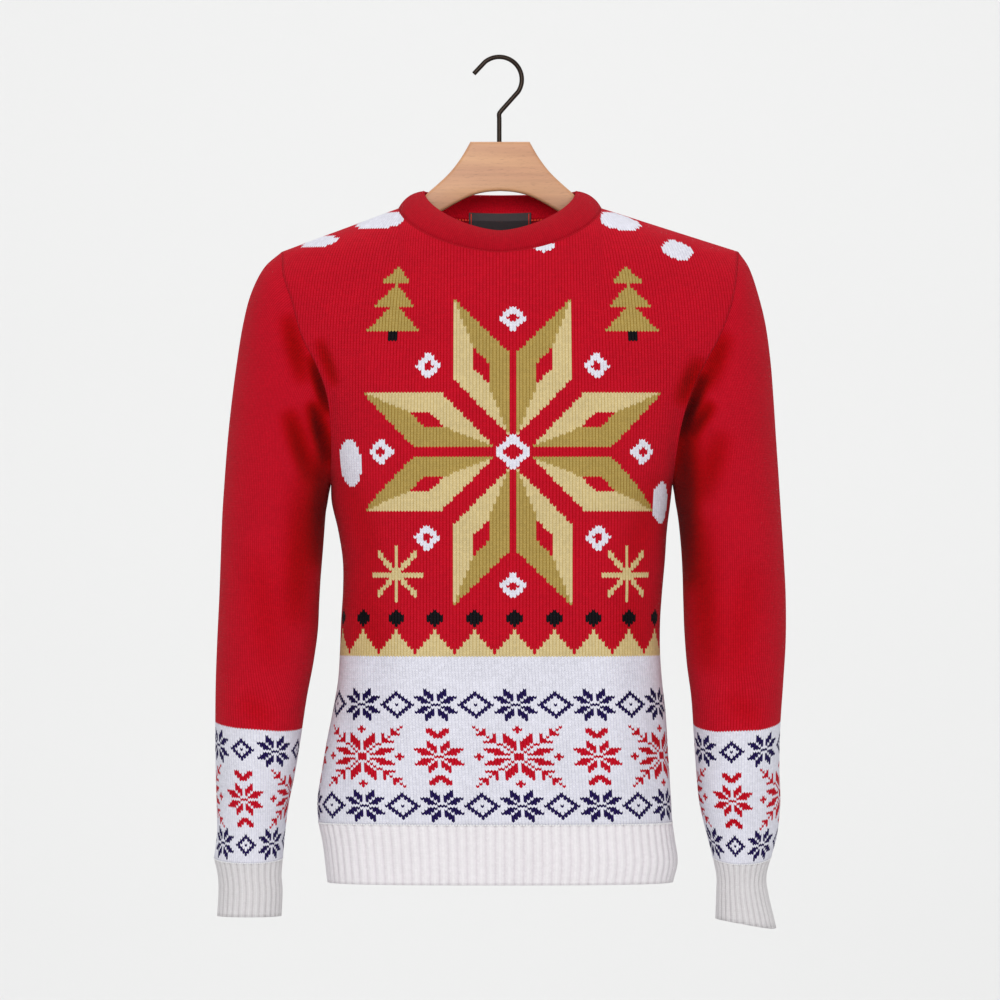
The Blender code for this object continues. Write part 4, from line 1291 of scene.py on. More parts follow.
def knit_shader(name, colour_of, depth=0.55, dark=0.9, purl=False, rib=None, mottle=1.0):
    """A knitted finish; colour_of turns a wale and a course into a colour.

    Where rib gives the stitches of a rib, shade is painted into the grooves between ribs."""
    made, tree, shader, spot = start_finish(name)
    place = add_node(tree, "ShaderNodeUVMap", {"uv_map": "Stitches"}).outputs["UV"]
    if purl:
        place = add_node(tree, "ShaderNodeMapping", Vector=place, Scale=(2.0, 1.0, 1.0)).outputs["Vector"]
    stitch = put_group(tree, knitted_stitch, Place=place)
    colour = colour_of(tree, stitch["Wale"], stitch["Course"])
    fuzz, cloud = noise(tree, spot, FUZZ_SCALE, 2.0), noise(tree, spot, CLOUD_SCALE, 2.0)
    light = (stitch["Speck"] - 0.5) * SPECK_LIGHT + (fuzz - 0.5) * FUZZ_LIGHT
    light = (light + (cloud - 0.5) * CLOUD_LIGHT) * mottle + 1.0
    tinted = add_node(tree, "ShaderNodeHueSaturation", Value=light)
    feed(tree, colour, tinted.inputs["Color"])
    shade = stitch["Shade"] * dark
    if rib:
        # Painted shade in the grooves between ribs.
        across = Amount(tree, add_node(tree, "ShaderNodeSeparateXYZ", Vector=place).outputs["X"])
        groove = (across - 0.5).from_nearest(rib) * (2.0 / rib)
        shade = shade + groove**2.0 * GROOVE_PAINTED_SHADE
    # Painted shade of the folds, and of the body's shadow on the sleeves.
    crease = add_node(tree, "ShaderNodeAttribute", {"attribute_name": "Crease"}).outputs["Fac"]
    shade = shade + Amount(tree, crease) * FOLD_PAINTED_SHADE
    # The gamma paints all this shade into the yarn's colour.
    deep = add_node(tree, "ShaderNodeGamma", Gamma=shade + 1.0)
    feed(tree, tinted.outputs["Color"], deep.inputs["Color"])
    feed(tree, deep.outputs["Color"], shader.inputs["Base Color"])
    raise_bump(tree, shader, stitch["Relief"] + fuzz * FUZZ_RELIEF, depth, RELIEF_HEIGHT)
    shader.inputs["Roughness"].default_value = 0.92
    shader.inputs["Specular IOR Level"].default_value = 0.08
    shader.inputs["Sheen Weight"].default_value = 0.02
    shader.inputs["Sheen Roughness"].default_value = 0.5
    return made


def band_colour(tree, ground, wale, course, top, **rows):
    """White up to the band's top course, with its navy and red motifs."""
    masks = put_group(tree, patterned_band, Wale=wale, Course=course, **rows)
    inside = course <= top - 1
    colour = dye(tree, ground, inside, "white")
    colour = dye(tree, colour, masks["Navy"] & inside, "navy")
    return dye(tree, colour, masks["Red"] & inside, "red")


BODY_BAND = {"Star_Shift": 0.0, "Low_Row": 7.0, "Middle_Row": 27.0, "Top_Row": 48.0, "Diamond": 5.0}
SLEEVE_BAND = {"Star_Shift": 12.0, "Low_Row": 7.0, "Middle_Row": 26.0, "Top_Row": 46.0, "Diamond": 4.0}
SLEEVE_BAND_TOP = 55.0


def front_colour(tree, wale, course):
    colour = "red"
    for yarn, mask in chest_design(wale, course):
        colour = dye(tree, colour, mask, yarn)
    colour = dye(tree, colour, snowballs("front", wale, course), "white")
    return band_colour(tree, colour, wale, course, BODY_BAND_TOP, **BODY_BAND)


def back_colour(tree, wale, course):
    colour = dye(tree, "red", snowballs("back", wale, course), "white")
    return band_colour(tree, colour, wale, course, BODY_BAND_TOP, **BODY_BAND)


def sleeve_colour(tree, wale, course):
    return band_colour(tree, "red", wale, course, SLEEVE_BAND_TOP, **SLEEVE_BAND)


def inside_colour(top):
    """The wrong side: red, and white with strands of navy carried behind."""

    def colour_of(tree, wale, course):
        colour = dye(tree, "red", course <= top - 1, "white")
        strands = (course.from_nearest(4) <= 0) & (course <= top - 1)
        return dye(tree, colour, strands & (wale.from_nearest(3) <= 0), "navy")

    return colour_of


def one_yarn(yarn):
    """A finish in a single yarn, as a colour that the recipe can tint."""

    def colour_of(tree, wale, course):
        return (*YARNS[yarn], 1.0)

    return colour_of


front_knit = knit_shader("front_knit", front_colour)
back_knit = knit_shader("back_knit", back_colour)
sleeve_knit = knit_shader("sleeve_knit", sleeve_colour, depth=0.5)
body_purl = knit_shader("body_purl", inside_colour(BODY_BAND_TOP), depth=0.4, dark=0.6, purl=True)
sleeve_purl = knit_shader("sleeve_purl", inside_colour(SLEEVE_BAND_TOP), depth=0.4, dark=0.6, purl=True)
wide_rib = {"rib": STITCHES_A_RIB, "mottle": 0.4}
hem_knit = knit_shader("white_rib", one_yarn("rib white"), depth=0.4, dark=0.3, **wide_rib)
# The cuffs' yarn is the hem's white with shade painted in.
cuff_knit = knit_shader("cuff_rib", one_yarn("cuff white"), depth=0.6, dark=0.5, **wide_rib)
band_rib = knit_shader("neckband_rib", one_yarn("neckband red"), depth=0.45, dark=0.55)
# Inside the collar the yarn is painted lighter, for the light that the band keeps out.
band_inside_painted_lighter = knit_shader("neckband_inside", one_yarn("neckband inside"), depth=0.6, dark=1.0)
print("finishes:", ", ".join(m.name for m in bpy.data.materials if m.use_nodes))

# %% [markdown]
# The panels and sleeves are jersey, one wall 2 mm thick. Its outside shows
# the plain stitches and its inside the purl ones. The edge that meets a rib
# is made level first.

# %% Panels and sleeves
def jersey(name, piece, slot, points, around, finishes):
    """One wall of jersey, with the sheet's stitches and the shade painted by its folds."""
    inside = points - facing[name] * JERSEY
    return walled(piece, points, inside, around, counts[name], finishes, painted_shade[name])


panel_knit = {"front": front_knit, "back": back_knit}
pieces = {}
for name, points in (("front", front), ("back", back)):
    level(points, facing[name], 0, HEM_SEAM_DROP)
    finishes = panel_knit[name], body_purl
    pieces[name] = jersey(name, name + "_knit", "knit_" + name, points, False, finishes)
    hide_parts(name + "_panel")
for name, points in sleeves.items():
    level(points, facing[name], -1, SLEEVES[name][-1][1])
    piece, slot = "sleeve_knit_" + name, "knit_sleeve_" + name
    pieces[name] = jersey(name, piece, slot, points, True, (sleeve_knit, sleeve_purl))
    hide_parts("sleeve_" + name)

# %% [markdown]
# The hem and cuffs are a wide rib: columns of knit stitches stand out
# between columns of purl. The ribs are real shapes here, raised and sunk in
# the wall's outer points over a plain inside.

# %% Hem and cuffs
RIB_GROOVE, RIB_RAISE = 2.0 * MM, 1.0 * MM
edges = {}
HEM_RIBS, CUFF_RIBS, TO_A_RIB = 24, 28, 8
HEM_ROWS, CUFF_ROWS = 17, 19
# Over the last few mm the hem's ribs grow this share lower.
HEM_BOTTOM_DROP, FADE_OVER, RIB_FADE = 773.0, 13.0, 0.35


def rib_wave(places):
    """1 on a rib's crest and 0 in a groove; a whole number is a crest."""
    wave = 0.5 + 0.5 * np.cos(2 * math.pi * places)
    return 1 - (1 - wave) ** 1.6


def ribbed(piece, points, outward, high, around, count, finish):
    """A wall whose outside sinks in between the ribs, where high nears 0."""
    outer = points - outward * (RIB_RAISE * (1 - high))[..., None]
    inner = points - outward * (RIB_GROOVE + RIB_RAISE)
    return walled(piece, outer, inner, around, count, (finish, finish))


def hem_rib(name, face):
    levels = np.linspace(HEM_BOTTOM_DROP, HEM_SEAM_DROP, HEM_ROWS)
    rows = []
    for drop in levels:
        halves = []
        for side, sign in ((RIGHT, -1), (LEFT, 1)):
            share = even_columns(face, side, drop, HEM_RIBS * TO_A_RIB)
            x = share * half_width(side, drop)
            y = body_depth(face, side, x, drop) * (-1 if face == FRONT else 1)
            halves.append(np.stack([x * sign, y, np.full(len(x), -drop)], axis=-1))
        rows.append(np.concatenate([halves[0][:0:-1], halves[1]]))
    points = np.array(rows) * MM
    outward = normals(points, False, 1 if face == FRONT else -1)
    outward[:, 0], outward[:, -1] = (-1, 0, 0), (1, 0, 0)
    points[:, [0, -1], 1] = SEAM_GAP / 2 * (-1 if face == FRONT else 1)
    level(points, outward, -1, HEM_SEAM_DROP)
    columns = points.shape[1]
    middle = columns // 2
    places = (np.arange(columns) - middle) / TO_A_RIB
    fading = ease((levels - (HEM_BOTTOM_DROP - FADE_OVER)) / FADE_OVER)
    high = rib_wave(places)[None, :] * (1 - RIB_FADE * fading)[:, None]
    wales = np.broadcast_to(places * STITCHES_A_RIB + 0.5, high.shape)
    courses = np.broadcast_to(((levels - HEM_SEAM_DROP) / -COURSE)[:, None], high.shape)
    edges["hem_" + name] = points
    piece, slot, count = "hem_rib_knit_" + name, "rib_hem_" + name, (wales, courses)
    made = ribbed(piece, points, outward, high, False, count, hem_knit)
    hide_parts("hem_rib_" + name)
    return made


def cuff_rib(name):
    count = CUFF_RIBS * TO_A_RIB
    angles = np.linspace(0, 2 * math.pi, count, endpoint=False)
    columns = rows_between(CUFFS[name], CUFF_ROWS)[1]
    rings = []
    for out_drop, in_drop, out_x, in_x, depth in zip(*columns):
        rings.append(ring((out_x, out_drop), (in_x, in_drop), depth, SLEEVE_FORWARD, angles))
    points = np.array(rings) * MM
    points[..., 0] *= -1 if name == "right" else 1
    outward = normals(points, True, 1 if name == "right" else -1)
    level(points, outward, 0, CUFFS[name][0][0])
    high = np.broadcast_to(rib_wave(np.arange(count) / TO_A_RIB), points.shape[:2])
    closed = np.arange(count + 1) / TO_A_RIB * STITCHES_A_RIB + 0.5
    wales = np.broadcast_to(closed, (len(points), count + 1))
    down = (points[0, :, 2] - points[:, :, 2]) / MM / SLEEVE_COURSE
    courses = np.concatenate([down, down[:, :1]], axis=1)
    edges["cuff_" + name] = points
    piece, slot = "cuff_knit_" + name, "rib_cuff_" + name
    made = ribbed(piece, points, outward, high, True, (wales, courses), cuff_knit)
    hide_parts("cuff_" + name)
    return made


for name, face in (("front", FRONT), ("back", BACK)):
    pieces["hem_" + name] = hem_rib(name, face)
for name in ("right", "left"):
    pieces["cuff_" + name] = cuff_rib(name)

# %% [markdown]
# The neckband is a fine rib, doubled over and linked to the neck edge. Its
# section is a flat loop that starts at the seam, bulges a little, rounds
# over the top and comes down inside. Its ribs are under 2 mm wide, so the
# stitch map alone carries them.

# %% Neckband
BAND_TOP_X, BAND_TOP_FRONT, BAND_TOP_BACK = 72.5, 55.0, 46.0
BAND_SIDE_DROP, BAND_FRONT_DROP, BAND_BACK_DROP = 124.0, 163.0, 127.5
BAND_TOP_ROUND, BAND_BULGE, BAND_WALL = 1.6, 3.5 * MM, 3.0 * MM
BAND_PROUD, BAND_LIFT = 0.6 * MM, 0.5 * MM
BAND_RIBS, BAND_COURSES, BAND_ROWS = 288, 30.0, 12


def band_top(x, in_front):
    """The band's upper edge over the point x of the neck seam."""
    share = np.abs(x) / (NECK_X * MM)
    reach = np.where(in_front, -BAND_TOP_FRONT, BAND_TOP_BACK) * arch(share, 2.0)
    lowest = np.where(in_front, BAND_FRONT_DROP, BAND_BACK_DROP)
    drop = mix(BAND_SIDE_DROP, lowest, arch(share, BAND_TOP_ROUND))
    return np.stack([np.sign(x) * share * BAND_TOP_X, reach, -drop], axis=-1) * MM


band_steps = 3 * BAND_RIBS // len(neck)
parts = np.arange(band_steps) / band_steps
seam = mix(neck[:, None], np.roll(neck, -1, axis=0)[:, None], parts[None, :, None]).reshape(-1, 3)
seam_out = mix(neck_facing[:, None], np.roll(neck_facing, -1, axis=0)[:, None], parts[None, :, None])
seam_out = unit(seam_out.reshape(-1, 3))
top = band_top(seam[:, 0], np.arange(len(seam)) < len(seam) // 2)
rise = unit(top - seam)
top_out = unit(np.cross(np.roll(top, -1, axis=0) - np.roll(top, 1, axis=0), rise))
base = seam + rise * BAND_LIFT + seam_out * BAND_PROUD
bend = (base + top) / 2 + 2 * BAND_BULGE * top_out
climb = np.linspace(0, 1, BAND_ROWS)[:, None, None]
band_outer = (1 - climb) ** 2 * base + 2 * climb * (1 - climb) * bend + climb**2 * top
band_out = unit(mix(seam_out, top_out, climb))
band_inner = band_outer - band_out * BAND_WALL
over_top = []
for degrees in (35, 90, 145):
    turn = math.radians(degrees)
    centre = (band_outer[-1] + band_inner[-1]) / 2
    reach = (band_outer[-1] - band_inner[-1]) / 2
    over_top.append(centre + reach * math.cos(turn) + rise * BAND_WALL / 2 * math.sin(turn))
outside_and_top = np.concatenate([band_outer, np.array(over_top)])
loop = np.concatenate([outside_and_top, band_inner[::-1]])
print("neckband section:", len(loop), "points, ribs:", BAND_RIBS)


def closed_band(name, points, finishes, outside_rows):
    """A grid rolled round the neck and round its own section."""
    mesh = grid_on(np.concatenate([points, points[:1]]), True)
    bmesh.ops.remove_doubles(mesh, verts=mesh.verts, dist=1e-7)
    data = finished_mesh(mesh, name)
    vertex, starts, face = corners_of(data)
    row, column = read(data, "row")[vertex], read(data, "column")[vertex]
    for values, spans in ((row, len(points)), (column, points.shape[1])):
        spread = np.maximum.reduceat(values, starts) - np.minimum.reduceat(values, starts)
        values[(spread[face] > spans / 2) & (values == 0)] = spans
    hidden = np.minimum.reduceat(row, starts) >= outside_rows
    data.polygons.foreach_set("material_index", hidden.astype(np.int32))
    u, v = column / points.shape[1], row / len(points)
    put_map(data, "OFBake", np.stack([0.01 + 0.98 * u, 0.01 + 0.98 * v], axis=-1))
    put_map(data, "Stitches", np.stack([u * BAND_RIBS + 0.5, v * BAND_COURSES], axis=-1))
    for finish in finishes:
        data.materials.append(finish)
    made = show(name, data)
    print(name, len(data.polygons), "faces")
    return made


finishes = (band_rib, band_inside_painted_lighter)
pieces["neckband"] = closed_band("neckband_knit", loop, finishes, len(outside_and_top))
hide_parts("neckband")

# %% [markdown]
# ## Seams
# The pieces are joined by seams that sink a little into the cloth. A round
# cord of the same yarn lies in each and fills the gap between two edges. A
# cord is swept along points that are already there, so it can't miss them.

# %% Cords in the seams
def swept(path, outward, radius, closed=False, around=8):
    """Rings of points round a path; outward turns them with the cloth."""
    if closed:
        ahead = unit(np.roll(path, -1, axis=0) - np.roll(path, 1, axis=0))
    else:
        ahead = unit(np.gradient(path, axis=0))
    side = unit(np.cross(ahead, outward))
    out = np.cross(side, ahead)
    turn = np.linspace(0, 2 * math.pi, around, endpoint=False)[None, :, None]
    sizes = np.broadcast_to(radius, len(path))[:, None, None]
    rings = path[:, None] + sizes * (side[:, None] * np.cos(turn) + out[:, None] * np.sin(turn))
    return np.concatenate([rings, rings[:1]]) if closed else rings


def build_cords(name, runs, radius, finish, closed=False, around=8):
    """One piece of round cords, one along each run of (path, outward)."""
    whole = bpy.data.meshes.new(name)
    joined = bmesh.new()
    for path, outward in runs:
        mesh = grid_on(swept(path, outward, radius, closed, around), True)
        if not closed:
            bmesh.ops.holes_fill(mesh, edges=mesh.edges, sides=0)
        bmesh.ops.recalc_face_normals(mesh, faces=mesh.faces)
        mesh.to_mesh(whole)
        mesh.free()
        joined.from_mesh(whole)
    joined.to_mesh(whole)
    joined.free()
    whole.materials.append(finish)
    print(name, len(whole.polygons), "faces")
    return show(name, whole)


def thread_finish(name, colour):
    """A single thread: its own colour, with a fuzz of light and dark."""
    made, tree, shader, spot = start_finish(name, colour)
    fuzz = noise(tree, spot, 900.0, 3.0)
    tint(tree, shader, colour, (fuzz - 0.5) * 0.5 + 1.0)
    raise_bump(tree, shader, fuzz, 0.5, 0.4 * MM)
    shader.inputs["Specular IOR Level"].default_value = 0.12
    return made


red_thread = thread_finish("red_thread", (0.36, 0.005, 0.013))
# The thread's own orange-red, painted lighter for the shade inside the collar.
bright_thread = thread_finish("bright_thread", (0.95, 0.07, 0.04))
white_thread = thread_finish("white_thread", (0.84, 0.83, 0.84))

CORD, CORD_DEPTH = 0.8 * MM, 1.0 * MM
BAND_TOP_DROP = HEM_SEAM_DROP - BODY_BAND_TOP * COURSE
armholes = [(sleeves[name][0] - facing[name][0] * CORD_DEPTH, facing[name][0]) for name in sleeves]
armhole_seams = build_cords("armhole_seams", armholes, CORD, red_thread, closed=True)

shoulders = []
for columns in (slice(HALF_COLUMNS + NECK_COLUMNS + 1, None), slice(0, HALF_COLUMNS - NECK_COLUMNS)):
    outward = facing["front"][-1, columns]
    shoulders.append((front[-1, columns] - outward * CORD_DEPTH, outward))
shoulder_seams = build_cords("shoulder_seams", shoulders, CORD, red_thread)

red_runs, white_runs = [], []
for edge in (0, -1):
    outward = facing["front"][: LOW_ROWS + 1, edge]
    run = front[: LOW_ROWS + 1, edge] - outward * CORD_DEPTH
    end = int(np.searchsorted(run[:, 2], -BAND_TOP_DROP * MM))
    white_runs.append((run[1:end], outward[1:end]))
    red_runs.append((run[end - 1 : -1], outward[end - 1 : -1]))
side_seams = build_cords("side_seams", red_runs, CORD, red_thread)
band_seams = build_cords("side_seams_in_the_band", white_runs, CORD, white_thread)
neck_run = [(neck - neck_facing * CORD_DEPTH * 0.5, neck_facing)]
neck_seam = build_cords("neck_seam", neck_run, CORD, red_thread, closed=True)

# %% [markdown]
# Where a rib is linked on, each stitch of the seam shows as a small bead of
# yarn. A ball of twenty faces is enough at this size. The back of the neck
# is linked with a brighter thread, which shows inside the collar. Its colour
# is painted lighter still, for the shade that the collar casts there.

# %% Linking stitches
# Of a bead's size: how far apart the beads lie, and how long, wide and thick
# each one is.
BEAD_APART, BEAD_SHAPE = 1.05, (1.1, 0.8, 0.7)


def build_beads(name, path, outward, size, finish, closed=True):
    """A row of small flattened balls along a path, one for each stitch."""
    ends = np.concatenate([path, path[:1]]) if closed else path
    faced = np.concatenate([outward, outward[:1]]) if closed else outward
    count = int(np.linalg.norm(np.diff(ends, axis=0), axis=1).sum() / (size * BEAD_APART))
    where = even_steps(ends, count)[:-1] * (len(ends) - 1)
    at = np.arange(len(ends))
    centres = np.stack([np.interp(where, at, ends[:, k]) for k in range(3)], axis=-1)
    out = unit(np.stack([np.interp(where, at, faced[:, k]) for k in range(3)], axis=-1))
    ahead = np.roll(centres, -1, axis=0) - centres
    ahead[-1] = ahead[-2]
    ahead = unit(ahead - out * (ahead * out).sum(axis=1, keepdims=True))
    mesh = bmesh.new()
    for centre, forward, off in zip(centres, ahead, out):
        across = np.cross(forward, off)
        for vert in bmesh.ops.create_icosphere(mesh, subdivisions=1, radius=size / 2)["verts"]:
            x, y, z = (value * share for value, share in zip(vert.co, BEAD_SHAPE))
            vert.co = centre + forward * x + across * y + off * z
    data = finished_mesh(mesh, name)
    data.materials.append(finish)
    print(name, count, "stitches")
    return show(name, data)


STITCH, CUFF_STITCH, NECK_STITCH, STITCH_DEPTH = 2.6 * MM, 2.2 * MM, 2.7 * MM, 0.3 * MM
linking = {}
for kind, size, row, sheets_of in (
    ("hem", STITCH, 0, {"front": front, "back": back}),
    ("cuff", CUFF_STITCH, -1, sleeves),
):
    for name, sheet_points in sheets_of.items():
        outward = facing[name][row]
        line = sheet_points[row] - outward * STITCH_DEPTH - np.array([0, 0, SEAM_GAP / 2])
        piece, slot, closed = f"{kind}_linking_{name}", f"rib_{kind}_{name}", kind == "cuff"
        made = build_beads(piece, line, outward, size, white_thread, closed)
        linking[f"{kind}_{name}"] = made
FROM_SHOULDER, NECK_PROUD, NECK_BELOW = 40, 0.5 * MM, 0.3 * MM
behind = slice(len(seam) // 2 + FROM_SHOULDER, len(seam) - FROM_SHOULDER)
inward = -band_out[0, behind]
line = band_inner[0, behind] + inward * NECK_PROUD - rise[behind] * NECK_BELOW
linking["neck"] = build_beads(
    "neck_linking", line, inward, NECK_STITCH, bright_thread, closed=False
)

# %% [markdown]
# An arm's tube bends at the elbow and swings forward, so the front of each
# ring hangs lower than its sides, and its back is higher. The rows of the
# pattern and the cuff's seam show it. The whole wrist is sheared at once:
# sleeve, cuff and the beads between them.

# %% Let the sleeves' fronts hang
HANG_REACH = 36.0
DIPS = {
    # drop, how far the front hangs there
    "right": ((470.0, 0.0), (600.0, 4.5), (700.0, 5.0), (750.0, 4.7), (800.0, 0.0)),
    "left": ((470.0, 0.0), (600.0, 8.0), (700.0, 8.6), (750.0, 9.0), (806.0, 0.0)),
}


def hang(points, name):
    """Lowers the points in front of the arm's middle and lifts those behind."""
    drops, dips = np.array(DIPS[name]).T
    ahead = np.clip((-points[..., 1] / MM - SLEEVE_FORWARD) / HANG_REACH, -1, 1)
    points[..., 2] -= np.interp(-points[..., 2] / MM, drops, dips) * ahead * MM


for name, rings in sleeves.items():
    for made in (pieces[name], pieces["cuff_" + name], linking["cuff_" + name]):
        spots = spots_of(made.data)
        hang(spots, name)
        made.data.vertices.foreach_set("co", spots.ravel())
        made.data.update()
    hang(rings, name)
    hang(edges["cuff_" + name], name)
    print(name, "sleeve hangs", max(dip for _, dip in DIPS[name]), "mm lower in front")

# %% [markdown]
# ## Label
# A woven label is sewn flat over the middle of the back neck. It stays
# blank. Its weave is a fine twill, two crossing waves, and a short bar of
# bright stitches holds each end, in the collar's thread that is painted
# lighter for the shade there.

# %% Label
def twill_finish():
    made, tree, shader, spot = start_finish("label_twill", (0.035, 0.033, 0.036), 0.75)
    apart = add_node(tree, "ShaderNodeSeparateXYZ", Vector=spot)
    across, up = Amount(tree, apart.outputs["X"]), Amount(tree, apart.outputs["Z"])
    twill = ((across + up * 0.6) * 9000.0).math("SINE")
    warp = (across * 14000.0).math("SINE")
    height = twill * 0.35 + warp * 0.2 + 0.5
    tint(tree, shader, (0.062, 0.050, 0.056), height * 0.5 + 0.75)
    raise_bump(tree, shader, height, 0.4, 0.15 * MM)
    return made


BAR_INSET, BAR_STEPS, BAR_THICK = 2.2 * MM, 12, 0.5 * MM
label = frame["nodes"]["neck_label"]
label.data.materials.clear()
label.data.materials.append(twill_finish())
corners = spots_of(label.data)
bars = []
for sign in (-1, 1):
    reach = (corners[:, 0] * sign).max()
    near_end = corners[corners[:, 0] * sign > reach - 0.1 * MM]
    heights = np.unique(np.round(near_end[:, 2], 4))
    fronts = [near_end[np.abs(near_end[:, 2] - z) < 0.3 * MM, 1].min() for z in heights]
    bar_z = np.linspace(heights[0] + MM, heights[-1] - MM, BAR_STEPS)
    bar_x = np.full(BAR_STEPS, sign * (reach - BAR_INSET))
    bar_y = np.interp(bar_z, heights, fronts) - BAR_THICK
    bar = np.stack([bar_x, bar_y, bar_z], axis=-1)
    bars.append((bar, np.tile((0.0, -1.0, 0.0), (BAR_STEPS, 1))))
    print("label end at", np.round(reach / MM, 1), "front", np.round(np.array(fronts) / MM, 1))
label_bars = build_cords("label_stitching", bars, BAR_THICK, bright_thread, around=6)

# %% [markdown]
# ## Hanger
# The hanger is sawn from a beech board along one drawn outline, and its
# edges are rounded over with a router. A curve with a rounded rim does the
# same: the outline is drawn once, flat, given its thickness and its edge, and
# made a mesh. The outline's few measured points are joined by smooth runs.

# %% Hanger
WOOD_THICK, WOOD_EDGE = 12.0 * MM, 3.0 * MM
HANGER_NECK = (
    # x, drop: the crown's corner, then its hollow side
    (27.8, 77.7),
    (34.5, 89.5),
    (40.6, 98.5),
    (47.5, 107.0),
    (56.8, 116.0),
    (66.3, 124.3),
    (72.5, 130.2),
    (80.0, 136.6),
    (90.0, 143.2),
    (100.0, 146.8),
)
HANGER_SHOULDER = ((112.0, 149.5), (180.0, 174.8))
HANGER_TIP = (190.0, 187.5, 9.0)
HANGER_UNDER = (
    # x, drop: along the underside, in to the middle of the arch
    (170.0, 190.5),
    (130.0, 177.0),
    (96.0, 163.6),
    (75.0, 153.6),
    (57.0, 144.3),
    (40.0, 134.5),
    (26.0, 127.9),
    (13.0, 124.8),
    (0.0, 123.8),
)
WIRE, STEM_X, STEM_INTO_WOOD = 4.4, -0.7, 14.0


def smooth_run(points, steps):
    """A smooth curve through points, with a number of steps between two."""
    points = np.array(points, dtype=float)
    at = np.arange(len(points), dtype=float)
    table = np.column_stack([at, points])
    where = np.linspace(0, len(points) - 1, (len(points) - 1) * steps + 1)
    return np.stack([along(table, k, where) for k in range(1, table.shape[1])], axis=-1)


def hanger_outline():
    tip_x, tip_drop, tip_round = HANGER_TIP
    turn = np.radians(np.arange(60.0, -61.0, -10.0))
    tip = np.stack([tip_x - tip_round * (1 - np.cos(turn)), tip_drop - tip_round * np.sin(turn)], axis=-1)
    half = [smooth_run(HANGER_NECK, 3), np.array(HANGER_SHOULDER), tip, smooth_run(HANGER_UNDER, 4)]
    half = np.concatenate(half)
    return np.concatenate([half, half[-2::-1] * (-1, 1)]) * MM


def mesh_of(made):
    """The mesh that an object shows, with the object removed."""
    bpy.context.view_layer.update()
    graph = bpy.context.evaluated_depsgraph_get()
    data = bpy.data.meshes.new_from_object(made.evaluated_get(graph))
    bpy.data.objects.remove(made)
    return data


def build_board():
    flat = bpy.data.curves.new("hanger_outline", "CURVE")
    flat.dimensions = "2D"
    flat.fill_mode = "BOTH"
    flat.extrude = WOOD_THICK / 2 - WOOD_EDGE
    flat.bevel_depth = WOOD_EDGE
    flat.bevel_resolution = 4
    flat.offset = -WOOD_EDGE
    outline = flat.splines.new("POLY")
    places = hanger_outline()
    outline.points.add(len(places) - 1)
    for point, (x, drop) in zip(outline.points, places):
        point.co = (x, -drop, 0.0, 1.0)
    outline.use_cyclic_u = True
    mesh = bmesh.new()
    mesh.from_mesh(mesh_of(placed("hanger_outline", flat)))
    bmesh.ops.remove_doubles(mesh, verts=mesh.verts, dist=1e-6)
    for vert in mesh.verts:
        vert.co = (vert.co.x, -vert.co.z, vert.co.y)
    return finished_mesh(mesh, "board")


def drilled(board):
    """The board with the hook's hole, drilled down from the crown."""
    mesh = bmesh.new()
    wide, deep = (WIRE / 2 + 0.15) * MM, STEM_INTO_WOOD * MM + SEAM_GAP
    bmesh.ops.create_cone(mesh, cap_ends=True, segments=32, radius1=wide, radius2=wide, depth=2 * deep)
    bmesh.ops.translate(mesh, vec=(STEM_X * MM, 0, -HANGER_NECK[0][1] * MM), verts=mesh.verts)
    drill, wood = placed("drill", finished_mesh(mesh, "drill")), placed("board", board)
    cut = wood.modifiers.new("hole", "BOOLEAN")
    cut.operation = "DIFFERENCE"
    cut.solver = "EXACT"
    cut.object = drill
    data = mesh_of(wood)
    bpy.data.objects.remove(drill)
    return data


def beech_finish():
    """Pale beech under thin lacquer: long grain, and short dark flecks in it."""
    made, tree, shader, spot = start_finish("beech", (0.575, 0.29, 0.15), 0.45)
    grain = noise(tree, spot, 1.0, 5.0, (9.0, 30.0, 260.0))
    bands = noise(tree, spot, 1.0, 3.0, (5.0, 20.0, 45.0))
    flecks = noise(tree, spot, 1.0, 1.0, (170.0, 900.0, 1500.0))
    fleck = (flecks - 0.60).math("MAXIMUM", 0.0) * 3.5
    light = (grain - 0.5) * 0.34 + 1.0 + (bands - 0.5) * 0.5 - fleck * 0.35
    tint(tree, shader, (0.575, 0.29, 0.15), light, Hue=(bands - 0.5) * 0.03 + 0.5)
    feed(tree, light * -0.2 + 0.68, shader.inputs["Roughness"])
    raise_bump(tree, shader, grain - fleck * 0.6, 0.15, 0.3 * MM)
    shader.inputs["Coat Weight"].default_value = 0.15
    shader.inputs["Coat Roughness"].default_value = 0.3
    return made


wood_data = drilled(build_board())
wood_data.materials.clear()
wood_data.materials.append(beech_finish())
wood_data.name = "beech_hanger"
hanger = show("beech_hanger", wood_data)
wood_data.set_sharp_from_angle(angle=math.radians(40))
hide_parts("hanger_body")
print("hanger:", len(wood_data.polygons), "faces")

# %% [markdown]
# The hook is one bent wire, blackened and lacquered, so it is dark with a
# warm shine. Its path is a straight tip, an arc, a straight run back to the
# middle, a kink and the stem in its hole.

# %% Hook
HOOK_RADIUS, HOOK_START, HOOK_TURN, KINK_DROP = 21.2, 130.0, -34.0, 50.5
HOOK_TIP = (-24.7, -13.8)


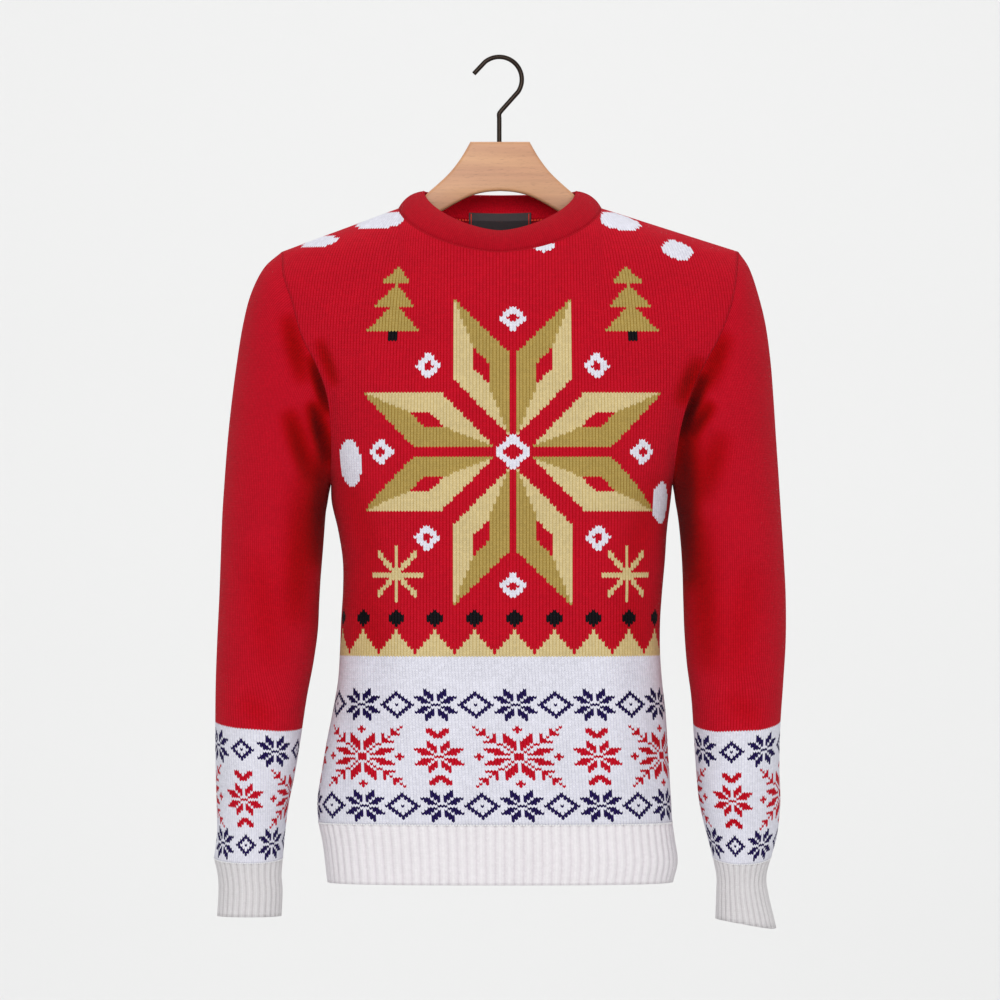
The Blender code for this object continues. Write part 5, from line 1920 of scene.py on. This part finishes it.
def hook_path():
    turn = np.radians(np.linspace(HOOK_START, HOOK_TURN, 80))
    centre = WIRE / 2 - HOOK_RADIUS
    arc = np.stack([STEM_X + HOOK_RADIUS * np.cos(turn), centre + HOOK_RADIUS * np.sin(turn)], axis=-1)
    kink, end = np.array([STEM_X, -KINK_DROP]), np.array([STEM_X, -HANGER_NECK[0][1] - STEM_INTO_WOOD])
    tip = mix(np.array(HOOK_TIP), arc[0], np.linspace(0.0, 0.85, 8)[:, None])
    bend = smooth_run([mix(arc[-1], kink, 0.86), mix(kink, end, 0.02), mix(kink, end, 0.12)], 8)
    straight = mix(arc[-1], kink, np.linspace(0.1, 0.8, 8)[:, None])
    stem = mix(kink, end, np.linspace(0.2, 1.0, 8)[:, None])
    flat = np.concatenate([tip, arc, straight, bend, stem])
    return np.stack([flat[:, 0], np.zeros(len(flat)), flat[:, 1]], axis=-1) * MM


def wire_finish():
    made, tree, shader, spot = start_finish("dark_wire", (0.045, 0.034, 0.028), 0.3)
    shader.inputs["Metallic"].default_value = 1.0
    worn = noise(tree, spot, 180.0, 4.0)
    tint(tree, shader, (0.030, 0.022, 0.018), worn * 0.8 + 0.6)
    feed(tree, worn * 0.2 + 0.2, shader.inputs["Roughness"])
    raise_bump(tree, shader, worn, 0.1, 0.1 * MM)
    return made


TIP_BEVEL = 0.4 * MM
path = hook_path()
path = np.concatenate([path[:1], path[:1] + unit(path[1] - path[0]) * TIP_BEVEL, path[1:]])
gauge = np.full(len(path), WIRE / 2 * MM)
gauge[0] -= TIP_BEVEL
ahead_of_wire = np.tile((0.0, -1.0, 0.0), (len(path), 1))
hook = build_cords("bent_wire", [(path, ahead_of_wire)], gauge, wire_finish(), around=24)
hook.data.set_sharp_from_angle(angle=math.radians(50))
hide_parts("hanger_hook")

# %% [markdown]
# ## What the cloth was cut from
# Every knitted piece was flat before it was sewn. Its width is taken across
# its widest row, all round on a tube, its length down its longest column,
# and its area over the outside.

# %% Sheets
def cut_of(points, around):
    closed = np.concatenate([points, points[:, :1]], axis=1) if around else points
    across = np.linalg.norm(np.diff(closed, axis=1), axis=-1).sum(axis=1).max()
    down = np.linalg.norm(np.diff(points, axis=0), axis=-1).sum(axis=0).max()
    one, other = closed[1:, 1:] - closed[:-1, :-1], closed[1:, :-1] - closed[:-1, 1:]
    area = np.linalg.norm(np.cross(one, other), axis=-1).sum() / 2
    return (float(across), float(down)), float(min(area, across * down))


rests = {"hanger": [hanger], "panels": [pieces["front"], pieces["back"]]}
cuts = [
    ("front", front, False, rests["hanger"], [shoulder_seams, side_seams, band_seams]),
    ("back", back, False, rests["hanger"], []),
    ("right", sleeves["right"], True, rests["panels"], [armhole_seams]),
    ("left", sleeves["left"], True, rests["panels"], []),
    ("hem_front", edges["hem_front"], False, [pieces["front"]], [linking["hem_front"]]),
    ("hem_back", edges["hem_back"], False, [pieces["back"]], [linking["hem_back"]]),
    ("cuff_right", edges["cuff_right"], True, [pieces["right"]], [linking["cuff_right"]]),
    ("cuff_left", edges["cuff_left"], True, [pieces["left"]], [linking["cuff_left"]]),
    ("neckband", outside_and_top, True, rests["panels"], [neck_seam, linking["neck"]]),
]
for name, points, around, holders, goes_with in cuts:
    flat, area = cut_of(points, around)
    print(f"{name}: cut {flat[0]:.3f} x {flat[1]:.3f} m, {area:.4f} m2")
